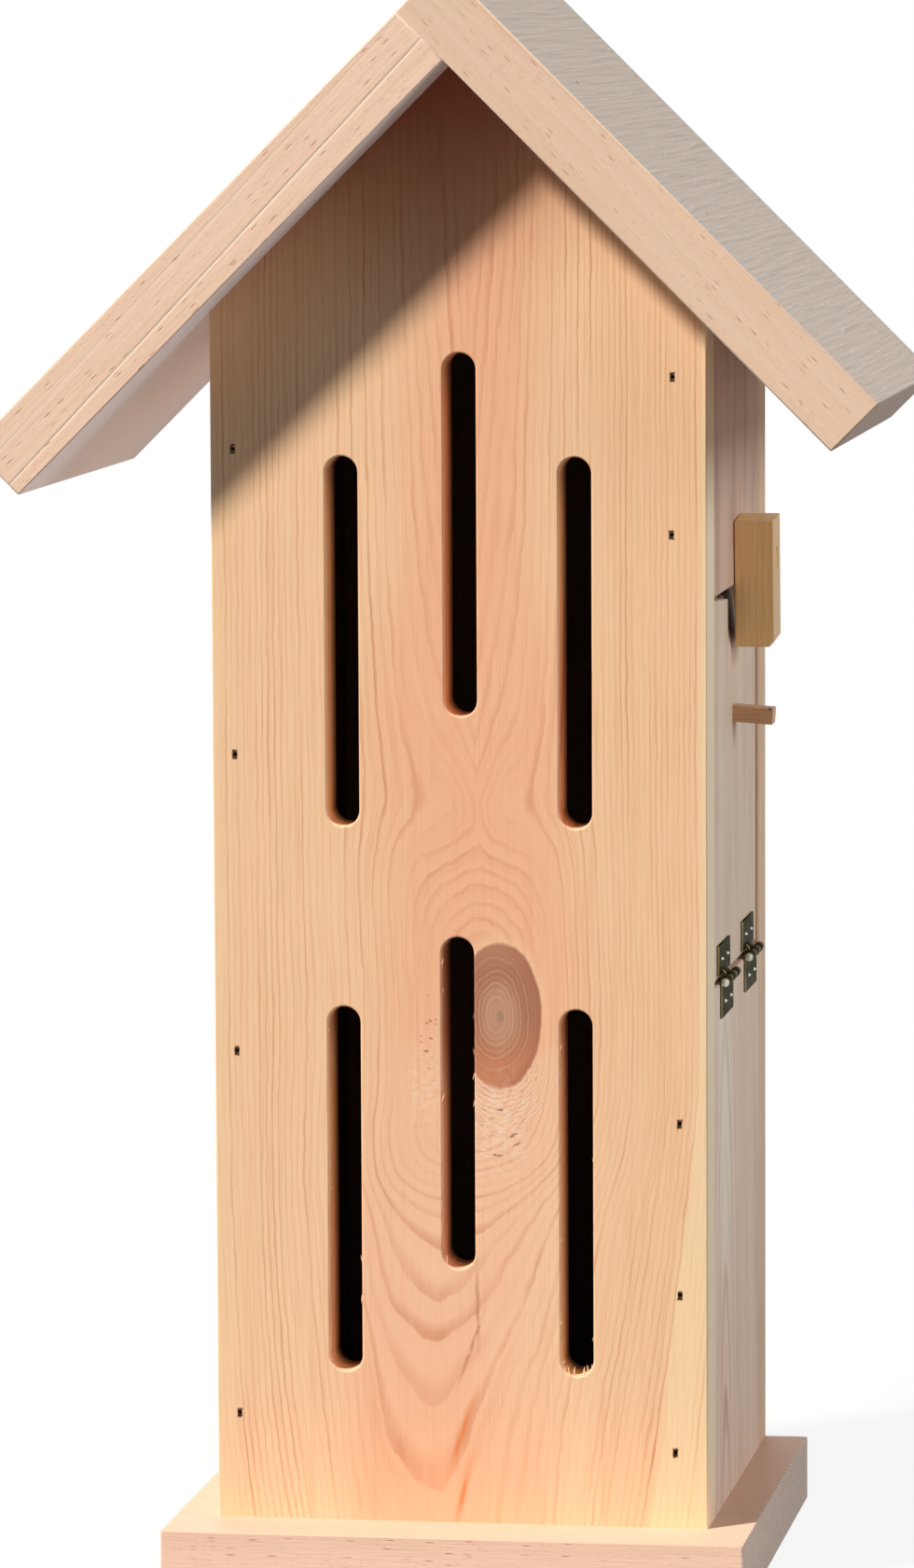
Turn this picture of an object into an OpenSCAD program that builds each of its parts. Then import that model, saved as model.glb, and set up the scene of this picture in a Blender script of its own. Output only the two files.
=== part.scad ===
// Butterfly house for a garden wall: a tall pine box with six entry slots in its front,
// an access door low in its right side, a base board and two roof boards.
// Millimetres, Z up, front towards -Y. The origin is the centre of the base board's underside.

/* [Body] */
// Width of the body across the front
body_w = 150; // [140:1:180]
// Depth of the body from front face to back face
body_d = 150; // [140:1:180]
// Height of the eaves above the base board
eave_h = 366; // [350:1:430]
// Thickness of the wall boards
board_t = 18; // [16:0.5:20]

/* [Roof] */
// Slope of both roof boards
roof_pitch = 45; // [42:1:50]
// Length of each roof board down its slope
roof_len = 182; // [165:1:210]
// Thickness of the roof boards
roof_t = 20; // [16:0.5:24]
// Overhang of the roof boards at the front
roof_front = 24; // [10:1:35]

/* [Base] */
// Thickness of the base board
base_t = 20; // [16:0.5:24]
// Overhang of the base board at each side
base_side = 13.5; // [8:0.5:25]
// Overhang of the base board at the front
base_front = 24; // [10:1:35]

/* [Slots] */
// Width of every entry slot
slot_w = 10; // [8:0.5:12]
// Distance of the side slots from the middle of the front
side_slot_x = 35.3; // [32:0.1:42]
// Length of the four side slots
side_slot_len = 111.5; // [80:0.5:116]
// Height of the upper side slots' middle above the base board
upper_side_slot_z = 267.3; // [262:0.1:280]
// Height of the lower side slots' middle above the base board
lower_side_slot_z = 101.3; // [95:0.1:110]
// Length of the upper middle slot
upper_mid_slot_len = 109; // [80:1:116]
// Height of the upper middle slot's middle above the base board
upper_mid_slot_z = 299.5; // [290:0.5:310]
// Length of the lower middle slot
lower_mid_slot_len = 101; // [80:1:116]
// Height of the lower middle slot's middle above the base board
lower_mid_slot_z = 128; // [120:1:140]
// Sideways step of the middle slots: the upper one to the right, the lower one to the left
mid_slot_step = 0.6; // [0:0.1:3]

/* [Access door] */
// Height of the fixed side board below the door
lower_panel_h = 161.4; // [150:0.1:175]
// Height of the door
door_h = 116.1; // [100:0.1:125]
// Thickness of the door
door_t = 12; // [10:0.5:13]
// Depth of the door's face below the side boards' faces
door_recess = 1; // [0.5:0.1:2]
// Gap above and below the door
door_gap = 1.2; // [1:0.1:2]
// Gap at the door's front and back edges
door_side_gap = 0.5; // [0.3:0.1:1]
// Width of the two stop strips that the door closes against
stop_w = 8; // [6:0.5:12]
// Gap between the shut door and its stop strips
stop_gap = 0.3; // [0.2:0.1:0.6]
// Width of the sloping relief under the turn button
relief_w = 30; // [24:1:40]
// Height of the sloping relief
relief_h = 18; // [12:1:24]
// Depth of the sloping relief at the door's top edge
relief_depth = 2.5; // [1:0.1:4]

/* [Door pull] */
// Length of the pull in front of the door
pull_out = 12.5; // [10:0.5:20]
// Depth of the pull's socket in the door
pull_in = 8; // [5:0.5:9]
// Width of the pull
pull_w = 8; // [6:0.5:14]
// Height of the pull
pull_h = 5; // [4:0.5:8]
// Distance of the pull below the door's top edge
pull_drop = 38.7; // [25:0.1:60]
// Downward tilt of the pull
pull_tilt = 4; // [0:1:6]

/* [Turn button] */
// Length of the turn button
button_len = 39; // [36:0.5:46]
// Width of the turn button
button_w = 18; // [14:0.5:20]
// Thickness of the turn button
button_t = 12; // [9:0.5:12]
// Distance of the pivot screw from the button's upper end
button_short_arm = 12.5; // [11:0.5:16]
// Height of the pivot screw above the lower edge of the upper side board
button_pivot_up = 8; // [8:0.5:14]
// Gap between the button and the side board
button_gap = 0.3; // [0.2:0.1:0.6]
// Tilt of the button from upright
button_lean = 4; // [0:1:8]
// Bevel on the button's lower outer edge
button_bevel = 1.6; // [0.5:0.1:3]
// Diameter of the pivot screw
button_screw_d = 3.6; // [3:0.1:4.5]
// Diameter of the pivot screw's head
button_screw_head_d = 7; // [6:0.1:8]
// Length of the pivot screw
button_screw_len = 27; // [22:1:28]

/* [Hinges] */
// Length of each hinge along its pin
leaf_len = 28; // [24:0.5:32]
// Width of each leaf from the pin's axis to its edge
leaf_w = 11; // [9:0.5:13]
// Thickness of the leaves
leaf_t = 0.8; // [0.6:0.1:1]
// Outer diameter of the knuckles
barrel_d = 3; // [2.8:0.1:3.4]
// Distance of the knuckles from the wall's face
barrel_lift = 0.1; // [0.1:0.05:0.3]
// Diameter of the hinge pins
pin_d = 1.4; // [1:0.1:1.6]
// Diameter of the pins' heads
pin_head_d = 2.4; // [2:0.1:2.8]
// Thickness of the pins' heads
pin_head_t = 0.5; // [0.3:0.1:1]
// Gap between neighbouring knuckles
knuckle_gap = 0.2; // [0.1:0.05:0.4]
// Distance of each hinge's outer end from the door's edge
hinge_inset = 12; // [8:0.5:18]
// Distance between the two screws of a leaf
leaf_screw_gap = 14; // [11:0.5:18]
// Diameter of the leaf screws
leaf_screw_d = 2; // [1.6:0.1:2.4]
// Diameter of the leaf screws' domed heads
leaf_screw_head_d = 4.4; // [3.6:0.1:5]
// Height of the leaf screws' domed heads
leaf_screw_head_h = 1.1; // [0.8:0.1:1.4]
// Length of the leaf screws under the head
leaf_screw_len = 9; // [7:0.5:10]

/* [Brads] */
// Diameter of the brads
brad_d = 1.2; // [1:0.1:1.6]
// Length of the brads
brad_len = 32; // [28:1:36]
// Depth of the brads' heads below the surface
brad_set = 1; // [0.5:0.1:2]
// Length of the brads' narrow heads
brad_head_w = 2.3; // [1.8:0.1:3]
// Thickness of the brads' heads
brad_head_t = 0.8; // [0.5:0.1:1.2]
// Heights of the left column's lower brads above the base board
left_brads = [32, 143, 233]; // [15:1:250]
// Distance of the left column's top brad below the eaves
left_top_brad = 41; // [10:1:60]
// Distance of the left column of brads from the body's edge
left_brad_inset = 6.8; // [5:0.1:12]
// Heights of the brads below the door
lower_right_brads = [23, 71, 123]; // [15:1:145]
// Height of the brad next above the door, from the upper side board's lower edge
upper_right_brad = 20.1; // [10:0.1:30]
// Distance of the right column's top brad below the eaves
right_top_brad = 19; // [10:1:30]
// Distances of the right column of brads from the body's edge, from the bottom up
right_brad_insets = [9.9, 8.4, 8.5, 10.6, 10.3]; // [6:0.1:12]
// Distances of the roof brads from the peak, down the slope
roof_brads = [30, 85]; // [24:1:95]

/* [Base screws] */
// Distance of the base screws from the middle
base_screw_x = 50; // [30:1:60]
// Diameter of the base screws
base_screw_d = 4; // [3:0.1:5]
// Diameter of the base screws' heads
base_screw_head_d = 8; // [6:0.1:9]
// Length of the base screws
base_screw_len = 45; // [35:1:60]

/* [Hanger] */
// Distance of the keyhole's round hole below the underside of the peak
hanger_drop = 81; // [70:1:120]
// Width of the hanger plate
hanger_w = 18; // [16:0.5:24]
// Height of the hanger plate
hanger_h = 46; // [42:1:56]
// Thickness of the hanger plate
hanger_t = 1.5; // [1:0.1:2]
// Diameter of the keyhole's round hole
keyhole_d = 9; // [8:0.1:10]
// Width of the keyhole's slot
keyhole_slot_w = 4.6; // [4.2:0.1:5.5]
// Rise of the keyhole's slot above the round hole's middle
keyhole_rise = 11; // [9:0.5:13]
// Width of the pocket behind the keyhole
pocket_w = 12; // [11:0.5:14]
// Depth of the pocket behind the plate
pocket_depth = 8; // [6:0.5:12]
// Diameter of the hanger screws
hanger_screw_d = 2.8; // [2:0.1:3.2]
// Diameter of the hanger screws' heads
hanger_screw_head_d = 5.4; // [4.5:0.1:6]
// Length of the hanger screws
hanger_screw_len = 13; // [10:0.5:15]

/* [Fits] */
// Radial clearance of a brad or screw in wood, and of a pin in a fixed knuckle
tight_fit = 0.02; // [0.01:0.01:0.05]
// Radial clearance of a turning fit
turn_fit = 0.05; // [0.02:0.01:0.1]
// Clearance round the knuckles, screw heads and the pull's socket
free_fit = 0.3; // [0.2:0.05:0.4]
// Clearance of a countersunk head below the surface
head_sink = 0.2; // [0.1:0.05:0.4]

/* [Hidden] */

$fn = 48;
past = 1; // length that a cut runs past a face
crank_rise = 1.2; // height of the sloping bend in a door leaf
hanger_margin = 2; // distance of the hanger screws' heads from the plate's ends
screw_slot_w = 0.6; // width of the slot in a leaf screw's head
pine = [0.93, 0.79, 0.62];
pine_shade = [0.88, 0.73, 0.56];
beech = [0.92, 0.79, 0.68];
dark_pine = [0.70, 0.50, 0.32];
hazel = [0.60, 0.42, 0.31];
dull_brass = [0.50, 0.47, 0.36];
bright_zinc = [0.78, 0.78, 0.74];
plain_steel = [0.45, 0.45, 0.46];

base_w = body_w + 2 * base_side;
base_d = body_d + base_front;
wall_x = body_w / 2;
inner_x = wall_x - board_t;
front_y = (base_front - body_d) / 2;
back_y = front_y + body_d;
inner_front_y = front_y + board_t;
inner_back_y = back_y - board_t;
mid_y = (front_y + back_y) / 2;
roof_front_y = front_y - roof_front;
floor_z = base_t;
eave_z = floor_z + eave_h;
peak_z = eave_z + wall_x * tan(roof_pitch);

// Where the left roof board's upper face starts, and how far the right board runs over it
butt_start = roof_t / tan(2 * roof_pitch);
butt_run = butt_start + roof_t * tan(roof_pitch);

lower_panel_top = floor_z + lower_panel_h;
door_bottom = lower_panel_top + door_gap;
door_top = door_bottom + door_h;
upper_panel_bottom = door_top + door_gap;
door_x = wall_x - door_recess;
door_inner_x = door_x - door_t;
door_front_y = inner_front_y + door_side_gap;
door_back_y = inner_back_y - door_side_gap;

barrel_r = barrel_d / 2;
axis_x = wall_x + barrel_lift + barrel_r;
axis_z = (lower_panel_top + door_bottom) / 2;
knuckle_reach = barrel_r + free_fit;
knuckle_len = (leaf_len - 2 * knuckle_gap) / 3;
front_hinge_y = door_front_y + hinge_inset;
rear_hinge_y = door_back_y - hinge_inset - leaf_len;
leaf_screw_z = (knuckle_reach + leaf_w) / 2;
leaf_screw_hole = leaf_screw_d + 2 * tight_fit;

left_column = concat(left_brads, [eave_h - left_top_brad]);
right_column = concat(
    lower_right_brads,
    [upper_panel_bottom - floor_z + upper_right_brad, eave_h - right_top_brad]
);

button_x = wall_x + button_gap;
button_pivot_z = upper_panel_bottom + button_pivot_up;
pull_z = door_top - pull_drop;

hanger_z = peak_z - hanger_drop;
hanger_mid_z = hanger_z + keyhole_rise / 2;
hanger_screw_step = (hanger_h - hanger_screw_head_d) / 2 - hanger_margin;

// An outline drawn in X and Z, made solid between two depths
module xz_board(outline, y_low, y_high) {
    translate([0, y_high, 0])
        rotate([90, 0, 0])
            linear_extrude(y_high - y_low)
                polygon(outline);
}

// A round bar or bore that starts at a point and runs along +Y
module rod_y(x, y, z, d, len) {
    translate([x, y, z])
        rotate([-90, 0, 0])
            cylinder(d = d, h = len);
}

// A round bar or bore that starts at a point and runs along +X
module rod_x(x, y, z, d, len) {
    translate([x, y, z])
        rotate([0, 90, 0])
            cylinder(d = d, h = len);
}

// A slot with round ends through the front panel
module slot_cut(x, z, len) {
    straight = len - slot_w;
    translate([x - slot_w / 2, front_y - past, z - straight / 2])
        cube([slot_w, board_t + 2 * past, straight]);
    for (end = [-1, 1])
        rod_y(x, front_y - past, z + end * straight / 2, slot_w, board_t + 2 * past);
}

// One brad along +Z with its narrow head at the origin
module brad() {
    translate([-brad_d / 2, -brad_head_w / 2, 0])
        cube([brad_d, brad_head_w, brad_head_t]);
    cylinder(d = brad_d, h = brad_len);
}

// The hole that a brad leaves, open to the surface
module brad_hole() {
    head_x = brad_d + 2 * tight_fit;
    head_y = brad_head_w + 2 * tight_fit;
    translate([-head_x / 2, -head_y / 2, -brad_set - past])
        cube([head_x, head_y, brad_set + past + brad_head_t + tight_fit]);
    cylinder(d = brad_d + 2 * tight_fit, h = brad_len + tight_fit);
}

// A countersunk screw along +Z with its flat head at the origin
module flat_screw(d, head_d, len) {
    head_h = (head_d - d) / 2;
    cross_len = head_d * 0.6;
    cross_w = head_d * 0.16;
    difference() {
        rotate_extrude()
            polygon([
                [0, 0], [head_d / 2, 0], [d / 2, head_h],
                [d / 2, len - d], [0, len]
            ]);
        for (turn = [0, 90])
            rotate(turn)
                translate([-cross_len / 2, -cross_w / 2, -past])
                    cube([cross_len, cross_w, past + head_h / 2]);
    }
}

// The hole of a countersunk screw, with its mouth sunk below the surface
module flat_screw_hole(d, head_d, len, fit) {
    head_h = (head_d - d) / 2;
    translate([0, 0, -head_sink - past])
        cylinder(d = head_d + 2 * fit, h = head_sink + past + fit / 2);
    translate([0, 0, fit / 2])
        cylinder(d1 = head_d + 2 * fit, d2 = d + 2 * fit, h = head_h);
    cylinder(d = d + 2 * fit, h = len + fit);
}

// Points of the domed head of a leaf screw, from its top to its rim
function dome_points(r, h, steps = 5) = [
    for (i = [0 : steps]) [r * sin(90 * i / steps), -h * cos(90 * i / steps)]
];

// A leaf screw along +Z, with the underside of its domed head at the origin
module dome_screw() {
    difference() {
        rotate_extrude()
            polygon(concat(
                dome_points(leaf_screw_head_d / 2, leaf_screw_head_h),
                [
                    [leaf_screw_d / 2, 0], [leaf_screw_d / 2, leaf_screw_len - leaf_screw_d],
                    [0, leaf_screw_len]
                ]
            ));
        translate([-leaf_screw_head_d, -screw_slot_w / 2, -leaf_screw_head_h - past])
            cube([2 * leaf_screw_head_d, screw_slot_w, past + leaf_screw_head_h / 2]);
    }
}

// The places of the brads along the left edge of the front
module at_front_left_brads() {
    for (h = left_column)
        translate([-wall_x + left_brad_inset, front_y + brad_set, floor_z + h])
            rotate([-90, 0, 0])
                children();
}

// The places of the brads along the right edge of the front, below and above the door
module at_front_right_brads() {
    for (i = [0 : len(right_column) - 1])
        translate([wall_x - right_brad_insets[i], front_y + brad_set, floor_z + right_column[i]])
            rotate([-90, 0, 0])
                children();
}

// The back is fixed like the front, seen in a mirror
module at_back_brads() {
    translate([0, 2 * mid_y, 0])
        mirror([0, 1, 0]) {
            at_front_left_brads() children();
            at_front_right_brads() children();
        }
}

// The roof brads of one board: side is 1 for the right board and -1 for the left
module at_roof_brads(side) {
    for (s = roof_brads)
        for (y = [front_y + board_t / 2, back_y - board_t / 2])
            translate([
                side * (s * cos(roof_pitch) + (roof_t - brad_set) * sin(roof_pitch)), y,
                peak_z - s * sin(roof_pitch) + (roof_t - brad_set) * cos(roof_pitch)
            ])
                rotate([0, 180 + side * roof_pitch, 0])
                    children();
}

module at_base_screws() {
    for (side = [-1, 1])
        for (y = [front_y + board_t / 2, back_y - board_t / 2])
            translate([side * base_screw_x, y, head_sink])
                children();
}

module at_hanger_screws() {
    for (step = [-1, 1])
        translate([0, back_y - head_sink, hanger_mid_z + step * hanger_screw_step])
            rotate([90, 0, 0])
                children();
}

// Screws of the wall leaves: they run into the lower side board
module at_wall_leaf_screws() {
    for (y = [front_hinge_y, rear_hinge_y])
        for (step = [-1, 1])
            translate([
                wall_x + leaf_t, y + (leaf_len + step * leaf_screw_gap) / 2,
                axis_z - leaf_screw_z
            ])
                rotate([0, -90, 0])
                    children();
}

// Screws of the door leaves: they run into the door
module at_door_leaf_screws() {
    for (y = [front_hinge_y, rear_hinge_y])
        for (step = [-1, 1])
            translate([
                door_x + leaf_t, y + (leaf_len + step * leaf_screw_gap) / 2,
                axis_z + leaf_screw_z
            ])
                rotate([0, -90, 0])
                    children();
}

module at_button_pivot() {
    translate([button_x + button_t - head_sink, mid_y, button_pivot_z])
        rotate([0, -90, 0])
            children();
}

// The gable shape of the front and back panels
function gable() = [
    [-wall_x, floor_z], [wall_x, floor_z], [wall_x, eave_z], [0, peak_z], [-wall_x, eave_z]
];

// A side board between two heights: where it reaches the eaves, its upper end is bevelled
// to meet the roof
function side_outline(side, low, high) = [
    [side * wall_x, low], [side * wall_x, high],
    [side * inner_x, high < eave_z ? high : high + board_t * tan(roof_pitch)],
    [side * inner_x, low]
];

module base_board() {
    color(beech)
        difference() {
            translate([-base_w / 2, -base_d / 2, 0])
                cube([base_w, base_d, base_t]);
            at_base_screws()
                flat_screw_hole(base_screw_d, base_screw_head_d, base_screw_len, tight_fit);
        }
}

module front_panel() {
    color(pine)
        difference() {
            xz_board(gable(), front_y, inner_front_y);
            for (side = [-1, 1]) {
                slot_cut(side * side_slot_x, floor_z + upper_side_slot_z, side_slot_len);
                slot_cut(side * side_slot_x, floor_z + lower_side_slot_z, side_slot_len);
            }
            slot_cut(mid_slot_step, floor_z + upper_mid_slot_z, upper_mid_slot_len);
            slot_cut(-mid_slot_step, floor_z + lower_mid_slot_z, lower_mid_slot_len);
            at_front_left_brads() brad_hole();
            at_front_right_brads() brad_hole();
            for (side = [-1, 1])
                at_roof_brads(side) brad_hole();
            at_base_screws()
                flat_screw_hole(base_screw_d, base_screw_head_d, base_screw_len, tight_fit);
        }
}

module back_panel() {
    color(pine_shade)
        difference() {
            xz_board(gable(), inner_back_y, back_y);
            at_back_brads() brad_hole();
            for (side = [-1, 1])
                at_roof_brads(side) brad_hole();
            at_base_screws()
                flat_screw_hole(base_screw_d, base_screw_head_d, base_screw_len, tight_fit);
            translate([-hanger_w / 2, back_y - hanger_t, hanger_mid_z - hanger_h / 2])
                cube([hanger_w, hanger_t + past, hanger_h]);
            translate([-pocket_w / 2, back_y - hanger_t - pocket_depth, hanger_z])
                cube([pocket_w, pocket_depth + past, keyhole_rise]);
            for (z = [hanger_z, hanger_z + keyhole_rise])
                rod_y(0, back_y - hanger_t - pocket_depth, z, pocket_w, pocket_depth + past);
            at_hanger_screws()
                flat_screw_hole(hanger_screw_d, hanger_screw_head_d, hanger_screw_len, tight_fit);
        }
}

module left_side_panel() {
    color(pine_shade)
        difference() {
            xz_board(side_outline(-1, floor_z, eave_z), inner_front_y, inner_back_y);
            at_front_left_brads() brad_hole();
            at_back_brads() brad_hole();
        }
}

module right_lower_panel() {
    color(pine_shade)
        difference() {
            xz_board(side_outline(1, floor_z, lower_panel_top), inner_front_y, inner_back_y);
            at_front_right_brads() brad_hole();
            at_back_brads() brad_hole();
            at_wall_leaf_screws() cylinder(d = leaf_screw_hole, h = leaf_screw_len + tight_fit);
        }
}

module right_upper_panel() {
    color(pine_shade)
        difference() {
            xz_board(side_outline(1, upper_panel_bottom, eave_z), inner_front_y, inner_back_y);
            at_front_right_brads() brad_hole();
            at_back_brads() brad_hole();
            at_button_pivot()
                cylinder(d = button_screw_d + 2 * tight_fit, h = button_screw_len + tight_fit);
        }
}

// Both roof boards are the same board: the right one runs over the peak, the left one butts
// under it
module roof_board_left() {
    c = cos(roof_pitch);
    s = sin(roof_pitch);
    color(beech)
        difference() {
            xz_board([
                [0, peak_z],
                [-roof_t * s - butt_start * c, peak_z + roof_t * c - butt_start * s],
                [-roof_t * s - roof_len * c, peak_z + roof_t * c - roof_len * s],
                [-roof_len * c, peak_z - roof_len * s]
            ], roof_front_y, back_y);
            at_roof_brads(-1) brad_hole();
        }
}

module roof_board_right() {
    c = cos(roof_pitch);
    s = sin(roof_pitch);
    low = roof_len - butt_run;
    color(beech)
        difference() {
            xz_board([
                [-butt_run * c, peak_z + butt_run * s],
                [low * c, peak_z - low * s],
                [low * c + roof_t * s, peak_z - low * s + roof_t * c],
                [-butt_run * c + roof_t * s, peak_z + butt_run * s + roof_t * c]
            ], roof_front_y, back_y);
            at_roof_brads(1) brad_hole();
        }
}

module access_door() {
    slope = relief_depth / relief_h;
    color(pine_shade)
        difference() {
            translate([door_inner_x, door_front_y, door_bottom])
                cube([door_t, door_back_y - door_front_y, door_h]);
            xz_board([
                [door_x, door_top - relief_h],
                [door_x + past, door_top - relief_h],
                [door_x + past, door_top + past],
                [door_x - slope * (relief_h + past), door_top + past]
            ], mid_y - relief_w / 2, mid_y + relief_w / 2);
            pull_bar(tight_fit);
            at_door_leaf_screws() cylinder(d = leaf_screw_hole, h = leaf_screw_len + tight_fit);
        }
}

module door_stop(y_low) {
    color(dark_pine)
        translate([inner_x, y_low, lower_panel_top])
            cube([
                door_inner_x - stop_gap - inner_x, stop_w,
                upper_panel_bottom - lower_panel_top
            ]);
}

module door_stop_front() {
    door_stop(inner_front_y);
}

module door_stop_back() {
    door_stop(inner_back_y - stop_w);
}

// The pull and, with a fit, its socket
module pull_bar(fit) {
    translate([door_x, mid_y, pull_z])
        rotate([0, pull_tilt, 0])
            translate([-pull_in - fit, -pull_w / 2 - fit, -pull_h / 2 - fit])
                cube([pull_in + pull_out + fit, pull_w + 2 * fit, pull_h + 2 * fit]);
}

module door_pull() {
    color(hazel) pull_bar(0);
}

module turn_button() {
    out = button_x + button_t;
    low = button_short_arm - button_len;
    color(dark_pine)
        difference() {
            translate([0, mid_y, button_pivot_z])
                rotate([button_lean, 0, 0])
                    xz_board([
                        [button_x, low], [out - button_bevel, low], [out, low + button_bevel],
                        [out, button_short_arm], [button_x, button_short_arm]
                    ], -button_w / 2, button_w / 2);
            at_button_pivot()
                flat_screw_hole(button_screw_d, button_screw_head_d, button_screw_len, turn_fit);
        }
}

module turn_button_screw() {
    color(bright_zinc)
        at_button_pivot()
            flat_screw(button_screw_d, button_screw_head_d, button_screw_len);
}

// The leaf on the lower side board: it holds the two outer knuckles
module wall_leaf(y) {
    color(dull_brass)
        difference() {
            union() {
                translate([wall_x, y, axis_z - leaf_w])
                    cube([leaf_t, leaf_len, leaf_w - knuckle_reach]);
                for (start = [y, y + leaf_len - knuckle_len]) {
                    translate([wall_x, start, axis_z - knuckle_reach - past])
                        cube([leaf_t, knuckle_len, knuckle_reach + past]);
                    rod_y(axis_x, start, axis_z, barrel_d, knuckle_len);
                }
            }
            rod_y(axis_x, y - past, axis_z, pin_d + 2 * tight_fit, leaf_len + 2 * past);
            at_wall_leaf_screws()
                translate([0, 0, -past])
                    cylinder(d = leaf_screw_hole, h = leaf_t + 2 * past);
        }
}

// The leaf on the door: it is cranked, because the door's face lies below the wall's face
module door_leaf(y) {
    start = y + knuckle_len + knuckle_gap;
    crank_low = axis_z + knuckle_reach;
    crank_high = crank_low + crank_rise;
    color(dull_brass)
        difference() {
            union() {
                translate([door_x, y, crank_low])
                    cube([leaf_t, leaf_len, leaf_w - knuckle_reach]);
                xz_board([
                    [door_x, crank_high], [door_x, crank_high + past],
                    [door_x + leaf_t, crank_high + past], [door_x + leaf_t, crank_high],
                    [wall_x + leaf_t, crank_low], [wall_x + leaf_t, axis_z],
                    [wall_x, axis_z], [wall_x, crank_low]
                ], start, start + knuckle_len);
                rod_y(axis_x, start, axis_z, barrel_d, knuckle_len);
            }
            rod_y(axis_x, y - past, axis_z, pin_d + 2 * turn_fit, leaf_len + 2 * past);
            at_door_leaf_screws()
                translate([0, 0, -past])
                    cylinder(d = leaf_screw_hole, h = leaf_t + 2 * past);
        }
}

module hinge_pin(y) {
    color(plain_steel) {
        rod_y(axis_x, y - pin_head_t, axis_z, pin_head_d, pin_head_t);
        rod_y(axis_x, y - pin_head_t, axis_z, pin_d, leaf_len + 2 * pin_head_t);
        rod_y(axis_x, y + leaf_len, axis_z, pin_head_d, pin_head_t);
    }
}

module front_hinge_wall_leaf() {
    wall_leaf(front_hinge_y);
}

module front_hinge_door_leaf() {
    door_leaf(front_hinge_y);
}

module front_hinge_pin() {
    hinge_pin(front_hinge_y);
}

module rear_hinge_wall_leaf() {
    wall_leaf(rear_hinge_y);
}

module rear_hinge_door_leaf() {
    door_leaf(rear_hinge_y);
}

module rear_hinge_pin() {
    hinge_pin(rear_hinge_y);
}

module wall_leaf_screws() {
    color(bright_zinc) at_wall_leaf_screws() dome_screw();
}

module door_leaf_screws() {
    color(bright_zinc) at_door_leaf_screws() dome_screw();
}

module front_brads_left() {
    color(plain_steel) at_front_left_brads() brad();
}

module front_brads_right() {
    color(plain_steel) at_front_right_brads() brad();
}

module back_brads() {
    color(plain_steel) at_back_brads() brad();
}

module roof_brads_left() {
    color(plain_steel) at_roof_brads(-1) brad();
}

module roof_brads_right() {
    color(plain_steel) at_roof_brads(1) brad();
}

module base_screws() {
    color(bright_zinc)
        at_base_screws()
            flat_screw(base_screw_d, base_screw_head_d, base_screw_len);
}

module hanger_plate() {
    color(bright_zinc)
        difference() {
            translate([-hanger_w / 2, back_y - hanger_t, hanger_mid_z - hanger_h / 2])
                cube([hanger_w, hanger_t, hanger_h]);
            rod_y(0, back_y - hanger_t - past, hanger_z, keyhole_d, hanger_t + 2 * past);
            translate([-keyhole_slot_w / 2, back_y - hanger_t - past, hanger_z])
                cube([keyhole_slot_w, hanger_t + 2 * past, keyhole_rise]);
            rod_y(
                0, back_y - hanger_t - past, hanger_z + keyhole_rise,
                keyhole_slot_w, hanger_t + 2 * past
            );
            at_hanger_screws()
                flat_screw_hole(hanger_screw_d, hanger_screw_head_d, hanger_screw_len, tight_fit);
        }
}

module hanger_screws() {
    color(bright_zinc)
        at_hanger_screws()
            flat_screw(hanger_screw_d, hanger_screw_head_d, hanger_screw_len);
}

base_board();
front_panel();
back_panel();
left_side_panel();
right_lower_panel();
right_upper_panel();
roof_board_left();
roof_board_right();
access_door();
door_stop_front();
door_stop_back();
door_pull();
turn_button();
turn_button_screw();
front_hinge_wall_leaf();
front_hinge_door_leaf();
front_hinge_pin();
rear_hinge_wall_leaf();
rear_hinge_door_leaf();
rear_hinge_pin();
wall_leaf_screws();
door_leaf_screws();
front_brads_left();
front_brads_right();
back_brads();
roof_brads_left();
roof_brads_right();
base_screws();
hanger_plate();
hanger_screws();
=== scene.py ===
"""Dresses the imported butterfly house: eased boards, wood and metal finishes, and fasteners.

The meshes are in metres in the frame of the CAD model: X to the right, Y to the back, Z up. Sizes
in the classes and places in the materials are millimetres, as the house was drawn.
"""

import logging
import math
import random
from dataclasses import dataclass
from enum import Enum
from typing import Callable, Sequence

import bmesh
import bpy
from mathutils import Matrix, Vector


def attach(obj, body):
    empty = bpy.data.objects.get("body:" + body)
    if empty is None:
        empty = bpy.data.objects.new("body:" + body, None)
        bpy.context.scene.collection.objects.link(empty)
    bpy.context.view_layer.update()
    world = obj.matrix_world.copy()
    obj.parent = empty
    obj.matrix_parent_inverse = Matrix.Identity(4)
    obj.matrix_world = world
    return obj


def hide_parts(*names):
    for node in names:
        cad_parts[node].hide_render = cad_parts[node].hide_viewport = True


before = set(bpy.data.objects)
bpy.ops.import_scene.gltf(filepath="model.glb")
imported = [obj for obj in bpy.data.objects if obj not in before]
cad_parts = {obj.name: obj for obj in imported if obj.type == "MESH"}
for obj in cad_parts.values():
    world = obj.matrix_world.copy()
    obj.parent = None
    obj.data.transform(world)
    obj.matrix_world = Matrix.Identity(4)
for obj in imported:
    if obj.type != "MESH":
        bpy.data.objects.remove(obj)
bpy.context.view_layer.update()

LOG = logging.getLogger("butterfly_house")
MM = 0.001
PHOTO_WIDTH_PX = 980
PHOTO_HEIGHT_PX = 1681

# Painted shade inside the cabin: how far the wood there is darkened, and the brown it is darkened
# towards.
INDOOR_PAINTED_SHADE = 0.9
INDOOR_PAINTED_SHADE_COLOUR = (84, 62, 46)

# Places that several classes share, in millimetres.
CABIN_MIDDLE_Y = 12.0
CABIN_HALF = 57.0
PIVOT_Z = 307.9
LEAF_SCREW_Y = (-25.5, -11.5, 35.5, 49.5)
BASE_SCREW_X = 50.0
BASE_SCREW_Y = (-54.0, 78.0)

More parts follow.
